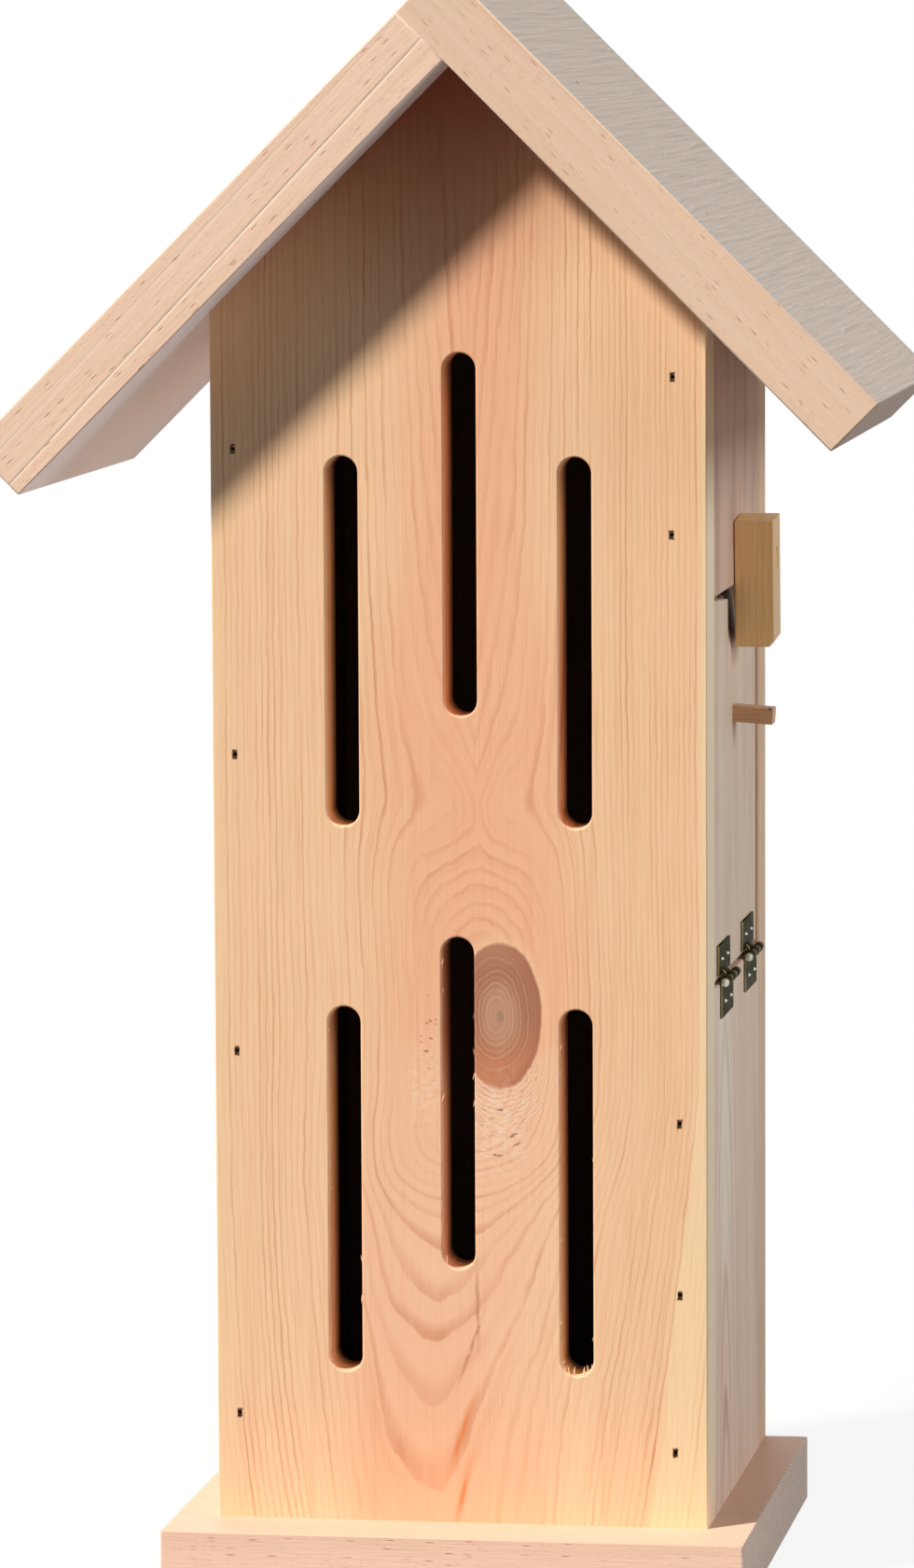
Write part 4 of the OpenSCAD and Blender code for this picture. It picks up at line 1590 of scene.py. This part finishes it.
class GrowthTree:
    """A Geometry Nodes tree that puts copies of one shape on points."""

    def __init__(self, name: str, numbers: Sequence[str]) -> None:
        """Makes a tree with its named inputs and its result.

        Args:
            name: The tree's name.
            numbers: Names of the shape's own inputs.
        """
        self.group = bpy.data.node_groups.new(name, "GeometryNodeTree")
        self.group.is_modifier = True
        self.identifiers: dict[str, str] = {}
        self.add_input("Points", "NodeSocketGeometry")
        self.group.interface.new_socket("Result", in_out="OUTPUT", socket_type="NodeSocketGeometry")
        self.start = self.group.nodes.new("NodeGroupInput")
        self.end = self.group.nodes.new("NodeGroupOutput")
        for number in (*numbers, "Turn spread", "Size spread"):
            self.add_input(number, "NodeSocketFloat")
        self.add_input("Seed", "NodeSocketInt")

    def add_input(self, name: str, kind: str) -> None:
        """Adds a named input of one of Blender's socket kinds."""
        made = self.group.interface.new_socket(name, in_out="INPUT", socket_type=kind)
        self.identifiers[name] = made.identifier

    def given(self, name: str) -> bpy.types.NodeSocket:
        """Gives the socket of a named input."""
        return self.start.outputs[name]

    def node(
        self, kind: str, inputs: dict[str, object] | None = None, **settings: Setting
    ) -> bpy.types.Node:
        """Adds a node.

        Args:
            kind: Blender's name of the node.
            inputs: Values or sockets for its inputs, by name or number.
            **settings: Its options.

        Returns:
            The node.
        """
        made = self.group.nodes.new(kind)
        for key, value in settings.items():
            setattr(made, key, value)
        for key, value in (inputs or {}).items():
            socket = made.inputs[int(key)] if key.isdigit() else made.inputs[key]
            if isinstance(value, bpy.types.NodeSocket):
                self.group.links.new(value, socket)
            else:
                socket.default_value = value
        return made

    def sum_of(self, operation: str, first: Given, second: Given) -> bpy.types.NodeSocket:
        """Adds a Math node for one of Blender's sums, and gives its result."""
        made = self.node("ShaderNodeMath", {"0": first, "1": second}, operation=operation)
        return made.outputs[0]

    def curve(self, value: bpy.types.NodeSocket, heights: Sequence[float]) -> bpy.types.NodeSocket:
        """Adds a Float Curve with straight runs between evenly spaced corners.

        Args:
            value: The place along the curve, from 0 to 1.
            heights: Height of each corner, from 0 to 1.

        Returns:
            The height at the place.
        """
        made = self.node("ShaderNodeFloatCurve", {"Value": value})
        line = made.mapping.curves[0]
        last = len(heights) - 1
        for index, height in enumerate(heights):
            if index in (0, last):
                line.points[0 if index == 0 else -1].location = (index / last, height)
            else:
                line.points.new(index / last, height)
        for point in line.points:
            point.handle_type = "VECTOR"
        made.mapping.update()
        return made.outputs[0]

    def sweep(
        self, outline: bpy.types.NodeSocket, profile: Profile, length: Given, radius: Given
    ) -> bpy.types.NodeSocket:
        """Runs an outline along the Z axis and scales it on the way.

        Args:
            outline: The outline, a curve in the plane of X and Y.
            profile: Place along the axis and scale of each corner, both from 0 to 1.
            length: Length of the whole shape, a socket or a number.
            radius: Scale of the outline at 1, a socket or a number.

        Returns:
            The shape, closed at both ends.
        """
        line = self.node(
            "GeometryNodeCurvePrimitiveLine", {"Start": (0, 0, 0), "End": (0, 0, 1)}
        )
        dense = self.node(
            "GeometryNodeResampleCurve", {"Curve": line.outputs[0], "Count": len(profile)}
        )
        share = self.node("GeometryNodeSplineParameter").outputs["Factor"]
        along = self.sum_of("MULTIPLY", self.curve(share, [p[0] for p in profile]), length)
        out = self.sum_of("MULTIPLY", self.curve(share, [p[1] for p in profile]), radius)
        spot = self.node("ShaderNodeCombineXYZ", {"Z": along})
        placed = self.node(
            "GeometryNodeSetPosition", {"Geometry": dense.outputs[0], "Position": spot.outputs[0]}
        )
        solid = self.node(
            "GeometryNodeCurveToMesh",
            {
                "Curve": placed.outputs[0], "Profile Curve": outline, "Scale": out,
                "Fill Caps": True,
            },
        )
        return solid.outputs[0]

    def lathe(self, profile: Profile, radius: Given, sides: int) -> bpy.types.NodeSocket:
        """Turns a profile round the Z axis.

        Args:
            profile: Place along the axis and radius of each corner, both from 0 to 1.
            radius: The largest radius, a socket or a number.
            sides: Sides of the turned shape.

        Returns:
            The turned shape, as long as the input Length says.
        """
        ring = self.node("GeometryNodeCurvePrimitiveCircle", {"Resolution": sides, "Radius": 1.0})
        return self.sweep(ring.outputs[0], profile, self.given("Length"), radius)

    def close(self, shape: bpy.types.NodeSocket, material: bpy.types.Material) -> None:
        """Puts the shape on the points, turned to each point's own direction.

        Args:
            shape: The shape, with its head at the origin and its length along Z.
            material: The finish of every copy.
        """
        inward = self.node(
            "GeometryNodeInputNamedAttribute", {"Name": "inward"}, data_type="FLOAT_VECTOR"
        )
        seed = self.given("Seed")
        turn = self.node("FunctionNodeRandomValue", {"Seed": seed}, data_type="FLOAT")
        self.group.links.new(self.given("Turn spread"), turn.inputs[3])
        facing = self.node(
            "FunctionNodeAlignRotationToVector", {"Vector": inward.outputs[0]}, axis="Z"
        )
        spin = self.node(
            "FunctionNodeAxisAngleToRotation", {"Axis": (0, 0, 1), "Angle": turn.outputs[1]}
        )
        both = self.node(
            "FunctionNodeRotateRotation",
            {"Rotation": facing.outputs[0], "Rotate By": spin.outputs[0]},
            rotation_space="LOCAL",
        )
        size = self.node("FunctionNodeRandomValue", {"Seed": seed}, data_type="FLOAT")
        spread = self.given("Size spread")
        self.group.links.new(self.sum_of("SUBTRACT", 1.0, spread), size.inputs[2])
        self.group.links.new(self.sum_of("ADD", 1.0, spread), size.inputs[3])
        copies = self.node(
            "GeometryNodeInstanceOnPoints",
            {
                "Points": self.given("Points"), "Instance": shape, "Rotation": both.outputs[0],
                "Scale": size.outputs[1],
            },
        )
        real = self.node("GeometryNodeRealizeInstances", {"Geometry": copies.outputs[0]})
        dressed = self.node(
            "GeometryNodeSetMaterial", {"Geometry": real.outputs[0], "Material": material}
        )
        self.group.links.new(dressed.outputs[0], self.end.inputs[0])

    def grow(
        self,
        name: str,
        points: Sequence[Point],
        inward: Sequence[Point],
        values: dict[str, float],
        material: bpy.types.Material,
    ) -> bpy.types.Object:
        """Runs the tree on given points and keeps the result as a plain mesh.

        Args:
            name: The new piece's name.
            points: Place of each copy in millimetres.
            inward: Direction of each copy's length.
            values: Values of the named inputs.
            material: The finish.

        Returns:
            The new object, with no modifier.
        """
        seedbed = bpy.data.meshes.new(name + "_points")
        seedbed.from_pydata([Vector(p) * MM for p in points], [], [])
        directions = seedbed.attributes.new("inward", "FLOAT_VECTOR", "POINT")
        for index, direction in enumerate(inward):
            directions.data[index].vector = direction
        holder = bpy.data.objects.new(name + "_points", seedbed)
        bpy.context.scene.collection.objects.link(holder)
        modifier = holder.modifiers.new("growth", "NODES")
        modifier.node_group = self.group
        for key, value in values.items():
            modifier[self.identifiers[key]] = value
        depsgraph = bpy.context.evaluated_depsgraph_get()
        mesh = bpy.data.meshes.new_from_object(holder.evaluated_get(depsgraph))
        bpy.data.objects.remove(holder)
        work = bmesh.new()
        work.from_mesh(mesh)
        bmesh.ops.remove_doubles(work, verts=work.verts, dist=TOUCH_M)
        bmesh.ops.recalc_face_normals(work, faces=work.faces)
        work.to_mesh(mesh)
        work.free()
        mesh.shade_smooth()
        mesh.set_sharp_from_angle(angle=math.radians(GROWN_SHARP_DEG))
        return shown(mesh, name, material)


class ScrewTree(GrowthTree):
    """A turned screw with its drive cut into the head."""

    def __init__(
        self, name: str, profile: Profile, drive: Drive, material: bpy.types.Material
    ) -> None:
        """Builds the tree.

        Args:
            name: The tree's name.
            profile: Corners of the turned screw, as shares of its length and head radius.
            drive: What the screw is turned with.
            material: Its finish.
        """
        super().__init__(
            name,
            ("Length", "Head radius", "Head rise", "Drive length", "Drive width", "Drive depth"),
        )
        body = self.lathe(profile, self.given("Head radius"), SCREW_SIDES)
        lift = self.node(
            "ShaderNodeCombineXYZ", {"Z": self.sum_of("MULTIPLY", self.given("Head rise"), -1.0)}
        ).outputs[0]
        body = self.moved(body, "Translation", lift)
        size = self.node(
            "ShaderNodeCombineXYZ",
            {
                "X": self.given("Drive length"), "Y": self.given("Drive width"),
                "Z": self.sum_of("MULTIPLY", self.given("Drive depth"), 2.0),
            },
        )
        bar = self.node("GeometryNodeMeshCube", {"Size": size.outputs[0]}).outputs[0]
        bar = self.moved(bar, "Translation", lift)
        body = self.cut(body, bar)
        if drive is Drive.CROSS:
            body = self.cut(body, self.moved(bar, "Rotation", (0.0, 0.0, math.pi / 2)))
        self.close(body, material)

    def moved(
        self, shape: bpy.types.NodeSocket, how: str, much: bpy.types.NodeSocket | Point
    ) -> bpy.types.NodeSocket:
        """Moves or turns a shape; how is the input's name, Translation or Rotation."""
        return self.node("GeometryNodeTransform", {"Geometry": shape, how: much}).outputs[0]

    def cut(self, body: bpy.types.NodeSocket, bar: bpy.types.NodeSocket) -> bpy.types.NodeSocket:
        """Cuts a bar out of the head.

        Args:
            body: The screw.
            bar: What is cut out of it.

        Returns:
            The cut screw.
        """
        made = self.node(
            "GeometryNodeMeshBoolean", {"0": body, "1": bar}, operation="DIFFERENCE", solver="EXACT"
        )
        return made.outputs[0]


class BradTree(GrowthTree):
    """A wire brad: a narrow flattened head, gripping rings and a pointed tip."""

    def __init__(self, name: str, material: bpy.types.Material) -> None:
        """Builds the tree.

        Args:
            name: The tree's name.
            material: The brads' finish.
        """
        super().__init__(name, ("Length", "Wire radius", "Head width", "Head depth"))
        profile = [(0.0, 0.9), (0.02, 0.96)]
        for step in range(4):
            start = 0.04 + step * 0.016
            profile += [(start, 0.96), (start + 0.005, 0.84), (start + 0.01, 0.84)]
        profile += [(0.11, 0.96), (0.95, 0.96), (1.0, 0.1)]
        wire = self.lathe(profile, self.given("Wire radius"), BRAD_SIDES)
        head = self.head()
        joined = self.node("GeometryNodeJoinGeometry")
        self.group.links.new(wire, joined.inputs[0])
        self.group.links.new(head, joined.inputs[0])
        self.close(joined.outputs[0], material)

    def head(self) -> bpy.types.NodeSocket:
        """Builds the flattened head.

        Returns:
            A low rounded block.
        """
        width = self.given("Head width")
        thick = self.sum_of("MULTIPLY", self.given("Wire radius"), 2.0)
        outline = self.node(
            "GeometryNodeCurvePrimitiveQuadrilateral", {"Width": thick, "Height": width}
        )
        rounding = self.sum_of("MULTIPLY", thick, 0.2)
        rounded = self.node(
            "GeometryNodeFilletCurve",
            {"Curve": outline.outputs[0], "Count": 3, "Radius": rounding},
            mode="POLY",
        )
        profile = ((0.0, 0.86), (0.15, 0.99), (0.7, 0.99), (1.0, 0.6))
        return self.sweep(rounded.outputs[0], profile, self.given("Head depth"), 1.0)


@dataclass(frozen=True)
class FlatScrew:
    """One group of countersunk screws."""

    name: str
    node: str
    length: float
    radius: float
    shank: float
    inward: Point
    heads: tuple[Point, ...]
    turns: int = 14

    def profile(self) -> Profile:
        """Gives the profile, with a thread's gentle ripple.

        Returns:
            Corners as shares of the length and of the head's radius.
        """
        radius, shank = self.radius, self.shank
        cone = (radius - shank) / self.length
        points = [(0.0, 0.01), (0.0, 0.95), (0.1 / self.length, 1.0), (cone, shank / radius)]
        start, end = cone + 0.08, 1.0 - 2 * shank / self.length
        for turn in range(self.turns):
            at = start + (end - start) * turn / self.turns
            half_on = at + (end - start) / self.turns * 0.5
            points += [(at, shank * 0.98 / radius), (half_on, shank * 0.82 / radius)]
        points += [(end, shank * 0.9 / radius), (1.0, 0.02)]
        return points

    def values(self) -> dict[str, float]:
        """Gives what the screw tree's inputs are set to.

        Returns:
            The value of each input, by name.
        """
        return {
            "Length": self.length * MM, "Head radius": self.radius * MM, "Head rise": 0.0,
            "Drive length": self.radius * 1.15 * MM, "Drive width": self.radius * 0.3 * MM,
            "Drive depth": (self.radius - self.shank) * 0.55 * MM, "Turn spread": math.pi,
            "Size spread": 0.0, "Seed": 5,
        }


def dome_profile(length: float, rise: float, radius: float, shank: float) -> Profile:
    """Gives the profile of a domed screw, from the top of its head to its tip.

    Args:
        length: Length of the whole screw, head and all.
        rise: Height of the dome.
        radius: Radius of the head.
        shank: Radius of the shank.

    Returns:
        Corners as shares of the length and of the head's radius.
    """
    points = []
    steps = 7
    for step in range(steps + 1):
        angle = math.pi / 2 * step / steps
        points.append((rise * (1 - math.cos(angle)) / length, max(math.sin(angle), 0.02)))
    points += [(rise * 1.001 / length, shank / radius)]
    points += [((length - 2 * shank) / length, shank / radius), (1.0, 0.02)]
    return points


@dataclass
class Fasteners:
    """All screws and brads of the house."""

    finishes: Finishes
    brads: BradPlan
    brad_length: float = 32.0
    brad_wire: float = 1.2
    brad_head: float = 2.3
    brad_head_deep: float = 0.8
    hinge_z: float = 182.0
    leaf_screw_step: float = 6.4
    wall_leaf_x: float = 75.8
    door_leaf_x: float = 74.8
    dome_rise: float = 1.1
    dome_radius: float = 2.2
    dome_length: float = 10.1
    dome_shank: float = 1.0
    slot_size: Point = (6.0, 0.55, 0.5)

    def build(self) -> None:
        """Grows every group of fasteners."""
        self.build_hinge_screws()
        self.build_flat_screws()
        self.build_brads()

    def build_hinge_screws(self) -> None:
        """Grows the domed screws of the hinge leaves."""
        profile = dome_profile(
            self.dome_length, self.dome_rise, self.dome_radius, self.dome_shank
        )
        screw = ScrewTree("domed_screw_tree", profile, Drive.SLOT, self.finishes.zinc)
        long, wide, deep = self.slot_size
        values = {
            "Length": self.dome_length * MM, "Head radius": self.dome_radius * MM,
            "Head rise": self.dome_rise * MM, "Drive length": long * MM, "Drive width": wide * MM,
            "Drive depth": deep * MM, "Turn spread": math.pi, "Size spread": 0.0, "Seed": 3,
        }
        low, high = self.hinge_z - self.leaf_screw_step, self.hinge_z + self.leaf_screw_step
        rows = (
            ("wall_leaf_screws", "wall_leaf_domed_screws", self.wall_leaf_x, low, Body.HOUSE),
            ("door_leaf_screws", "door_leaf_domed_screws", self.door_leaf_x, high, Body.DOOR),
        )
        for node, name, x, z, body in rows:
            points = [(x, y, z) for y in LEAF_SCREW_Y]
            inward = [(-1.0, 0.0, 0.0)] * len(points)
            piece = screw.grow(name, points, inward, values, self.finishes.zinc)
            settle(piece, body, Slot.SCREW_STEEL, node)

    def build_flat_screws(self) -> None:
        """Grows the countersunk screws of the base, the hanger and the turn button."""
        zinc = self.finishes.zinc
        groups = (
            FlatScrew(
                "base_countersunk_screws", "base_screws", 45.0, 4.0, 2.0, (0.0, 0.0, 1.0),
                tuple((side * BASE_SCREW_X, y, 0.2) for side in (-1, 1) for y in BASE_SCREW_Y),
            ),
            FlatScrew(
                "hanger_countersunk_screws", "hanger_screws", 13.0, 2.7, 1.4, (0.0, -1.0, 0.0),
                ((0.0, 86.8, 367.2), (0.0, 86.8, 403.8)),
            ),
            FlatScrew(
                "button_pivot_screw", "turn_button_screw", 27.0, 3.5, 1.8, (-1.0, 0.0, 0.0),
                ((87.1, CABIN_MIDDLE_Y, PIVOT_Z),),
            ),
        )
        for group in groups:
            screw = ScrewTree(group.name + "_tree", group.profile(), Drive.CROSS, zinc)
            inward = [group.inward] * len(group.heads)
            piece = screw.grow(group.name, group.heads, inward, group.values(), zinc)
            settle(piece, Body.HOUSE, Slot.SCREW_STEEL, group.node)

    def build_brads(self) -> None:
        """Grows the brads of the walls and the roof."""
        wire = self.finishes.wire
        brad = BradTree("brad_tree", wire)
        values = {
            "Length": self.brad_length * MM, "Wire radius": self.brad_wire / 2 * MM,
            "Head width": self.brad_head * MM, "Head depth": self.brad_head_deep * MM,
            "Turn spread": 0.0, "Size spread": 0.0, "Seed": 0,
        }
        front = self.brads.front_y + self.brads.set_in
        back = self.brads.back_y - self.brads.set_in
        rear = self.brads.left_column(back) + self.brads.right_column(back)
        rows = (
            ("front_left_brads", "front_brads_left", self.brads.left_column(front), (0, 1, 0)),
            ("front_right_brads", "front_brads_right", self.brads.right_column(front), (0, 1, 0)),
            ("rear_brads", "back_brads", rear, (0, -1, 0)),
            ("left_roof_brads", "roof_brads_left", self.brads.roof(-1), (COS_45, 0, -COS_45)),
            ("right_roof_brads", "roof_brads_right", self.brads.roof(1), (-COS_45, 0, -COS_45)),
        )
        for name, node, points, inward in rows:
            piece = brad.grow(name, points, [inward] * len(points), values, wire)
            settle(piece, Body.HOUSE, Slot.BRAD_STEEL, node)


@dataclass
class TornFibres:
    """Wood fibres that the cutter left standing at the mouths of the lower slots."""

    finishes: Finishes
    side_slot_x: float = 35.3
    side_slot_low: float = 65.55
    side_slot_high: float = 177.0
    mid_slot_x: float = -0.6
    mid_slot_low: float = 97.5
    mid_slot_high: float = 198.5
    half_width: float = 5.0
    mouth_y: float = -62.8
    fibre_long: float = 2.1
    fibre_thick: float = 0.24
    sides: int = 5
    seed: int = 11

    def build(self) -> None:
        """Grows the fibres."""
        tree = GrowthTree("torn_fibre_tree", ("Length", "Thickness"))
        profile = ((0.0, 0.5), (0.15, 1.0), (0.6, 0.6), (1.0, 0.05))
        sliver = tree.lathe(profile, tree.given("Thickness"), self.sides)
        tree.close(sliver, self.finishes.front)
        values = {
            "Length": self.fibre_long * MM, "Thickness": self.fibre_thick * MM,
            "Turn spread": math.pi, "Size spread": 0.45, "Seed": self.seed,
        }
        places = self.at_slot_ends() + self.at_slot_sides()
        points = [place for place, _ in places]
        lean = [direction for _, direction in places]
        piece = tree.grow("torn_slot_fibres", points, lean, values, self.finishes.front)
        settle(piece, Body.HOUSE, Slot.FRONT_PINE)

    def at_slot_ends(self) -> list[tuple[Point, Point]]:
        """Spreads the fibres in the round bottoms of two slots.

        Returns:
            Place and direction of each.
        """
        luck = random.Random(self.seed)
        places = []
        rows = (
            (self.side_slot_x, self.side_slot_low, (205, 222, 240, 262, 285, 300, 318, 332)),
            (self.mid_slot_x, self.mid_slot_low, (196, 210, 228)),
        )
        for x, low, angles in rows:
            for angle in angles:
                turn = math.radians(angle + luck.uniform(-6.0, 6.0))
                place = (
                    x + self.half_width * math.cos(turn), self.mouth_y + luck.uniform(0.0, 0.8),
                    low + self.half_width + self.half_width * math.sin(turn),
                )
                places.append((place, (luck.uniform(-0.3, 0.3), luck.uniform(-0.1, 0.4), 1.0)))
        return places

    def at_slot_sides(self) -> list[tuple[Point, Point]]:
        """Spreads the few fibres along the slots' straight edges.

        Returns:
            Place and direction of each.
        """
        luck = random.Random(self.seed + 1)
        places = []
        rows = (
            (-self.side_slot_x, self.side_slot_low, self.side_slot_high, 5),
            (self.mid_slot_x, self.mid_slot_low, self.mid_slot_high, 9),
            (self.side_slot_x, self.side_slot_low, self.side_slot_high, 5),
        )
        for x, low, high, count in rows:
            for _ in range(count):
                side = luck.choice((-1.0, 1.0))
                height = luck.uniform(low + 8.0, high - 8.0)
                place = (x + side * self.half_width, self.mouth_y + luck.uniform(0.0, 0.5), height)
                direction = (-side * luck.uniform(0.1, 0.45), 0.0, luck.choice((-1.0, 1.0)))
                places.append((place, direction))
        return places


@dataclass
class Hanger:
    """The keyhole plate in the back."""

    finishes: Finishes
    ease_mm: float = 0.15

    def build(self) -> None:
        """Builds and dresses the plate."""
        piece = Easing(self.ease_mm).copy_of("hanger_plate", "keyhole_plate", self.finishes.zinc)
        settle(piece, Body.HOUSE, Slot.SCREW_STEEL, "hanger_plate")


@dataclass
class Studio:
    """The floor, the lamps, the white surroundings and the camera."""

    key_travel: Point = (1.12, 1.0, -1.52)
    key_strength: float = 4.9
    key_soft_deg: float = 6.0
    key_colour: Rgb = (255, 250, 243)
    fill_strength: float = 12.5
    fill_place: Point = (1460.0, -220.0, 760.0)
    fill_size: float = 900.0
    rear_strength: float = 8.0
    rear_place: Point = (-500.0, 1600.0, 700.0)
    surround: float = 0.03
    focal_px: float = 8146.874
    yaw_deg: float = 8.964
    pitch_deg: float = 6.004
    roll_deg: float = 0.269
    target: Point = (-10.792, 2.0, 237.902)
    distance: float = 2343.72
    sensor_mm: float = 36.0
    floor_half: float = 2600.0
    floor_pale: Rgb = (228, 228, 226)
    floor_bounce: Rgb = (122, 122, 122)
    left_bounce: Rgb = (234, 240, 246)
    near_glow: float = 0.89
    floor_z: float = -0.4
    aim: Point = (0.0, 0.0, 250.0)
    surround_colour: Rgb = (255, 248, 240)
    fill_colour: Rgb = (232, 244, 255)
    rear_colour: Rgb = (250, 250, 250)

    def build(self) -> None:
        """Sets up everything around the house."""
        self.build_world()
        self.build_floor()
        self.build_lamps()
        self.build_camera()
        bpy.context.scene.view_settings.view_transform = "Standard"

    def build_world(self) -> None:
        """Makes surroundings that light softly and look white."""
        sheet = NodeSheet("white_surroundings", is_world=True)
        seen, glint = sheet.rays()
        light = sheet.node("ShaderNodeBackground")
        light.inputs["Color"].default_value = linear(self.surround_colour)
        light.inputs["Strength"].default_value = self.surround
        white = sheet.node("ShaderNodeBackground")
        white.inputs["Color"].default_value = (1.0, 1.0, 1.0, 1.0)
        sheet.end("ShaderNodeOutputWorld", (seen + glint).at_most(1.0), light, white)
        bpy.context.scene.world = sheet.owner

    def build_floor(self) -> None:
        """Makes a pale floor that fades to white away from the house."""
        mesh = bpy.data.meshes.new("studio_floor")
        half, z = self.floor_half * MM, self.floor_z * MM
        corners = [(-half, -half, z), (half, -half, z), (half, half, z), (-half, half, z)]
        mesh.from_pydata(corners, [], [(0, 1, 2, 3)])
        sheet = NodeSheet("pale_floor")
        x, y, _ = sheet.place()
        reach = (x * x + y * y).sqrt().rise(260.0, 900.0, self.near_glow, 1.0)
        seen, glint = sheet.rays()
        left_side = x.rise(-70.0, -130.0) * y.rise(-110.0, -40.0)
        bounce = sheet.blend(left_side, self.floor_bounce, self.left_bounce)
        pale = sheet.blend(seen, bounce, self.floor_pale)
        matt = sheet.node("ShaderNodeBsdfDiffuse")
        sheet.feed(matt.inputs["Color"], pale)
        glow = sheet.node("ShaderNodeEmission")
        share = (reach * seen + glint).at_most(1.0)
        sheet.end("ShaderNodeOutputMaterial", share, matt, glow)
        mesh.materials.append(sheet.owner)
        floor = bpy.data.objects.new("studio_floor", mesh)
        bpy.context.scene.collection.objects.link(floor)

    def build_lamps(self) -> None:
        """Hangs the key lamp at the upper left and the soft fills."""
        key = bpy.data.lights.new("key_lamp", "SUN")
        key.energy = self.key_strength
        key.angle = math.radians(self.key_soft_deg)
        key.color = linear(self.key_colour)[:3]
        lamp = bpy.data.objects.new("key_lamp", key)
        lamp.rotation_euler = Vector(self.key_travel).to_track_quat("-Z", "Y").to_euler()
        bpy.context.scene.collection.objects.link(lamp)
        rows = (
            ("right_fill", self.fill_place, self.fill_strength, self.fill_colour),
            ("rear_fill", self.rear_place, self.rear_strength, self.rear_colour),
        )
        for name, place, strength, colour in rows:
            soft = bpy.data.lights.new(name, "AREA")
            soft.shape = "SQUARE"
            soft.size = self.fill_size * MM
            soft.energy = strength
            soft.color = linear(colour)[:3]
            holder = bpy.data.objects.new(name, soft)
            holder.location = Vector(place) * MM
            aim = Vector(self.aim) * MM - holder.location
            holder.rotation_euler = aim.to_track_quat("-Z", "Y").to_euler()
            bpy.context.scene.collection.objects.link(holder)

    def build_camera(self) -> None:
        """Sets the camera where the photograph was taken from."""
        yaw, pitch, roll = (math.radians(a) for a in (self.yaw_deg, self.pitch_deg, self.roll_deg))
        forward = Vector(
            (-math.sin(yaw) * math.cos(pitch), math.cos(yaw) * math.cos(pitch), -math.sin(pitch))
        )
        level = Vector((math.cos(yaw), math.sin(yaw), 0.0))
        down = forward.cross(level)
        right = level * math.cos(roll) + down * math.sin(roll)
        below = down * math.cos(roll) - level * math.sin(roll)
        place = (Vector(self.target) - forward * self.distance) * MM
        turn = Matrix((right, -below, -forward)).transposed()
        data = bpy.data.cameras.new("photo_camera")
        data.sensor_width = self.sensor_mm
        data.lens = self.focal_px * self.sensor_mm / max(PHOTO_WIDTH_PX, PHOTO_HEIGHT_PX)
        camera = bpy.data.objects.new("photo_camera", data)
        camera.matrix_world = Matrix.Translation(place) @ turn.to_4x4()
        bpy.context.scene.collection.objects.link(camera)
        bpy.context.scene.camera = camera


def main() -> None:
    """Builds the sub-assemblies in order, then the studio."""
    logging.basicConfig(level=logging.INFO, format="%(name)s: %(message)s")
    finishes = Finishes.mixed()
    brads = BradPlan()
    Base(finishes).build()
    Walls(finishes, brads).build()
    Roof(finishes, brads).build()
    AccessDoor(finishes).build()
    TurnButton(finishes).build()
    Hinge(finishes, "front").build()
    Hinge(finishes, "rear").build()
    Fasteners(finishes, brads).build()
    TornFibres(finishes).build()
    Hanger(finishes).build()
    Studio().build()


if __name__ == "__main__":
    main()
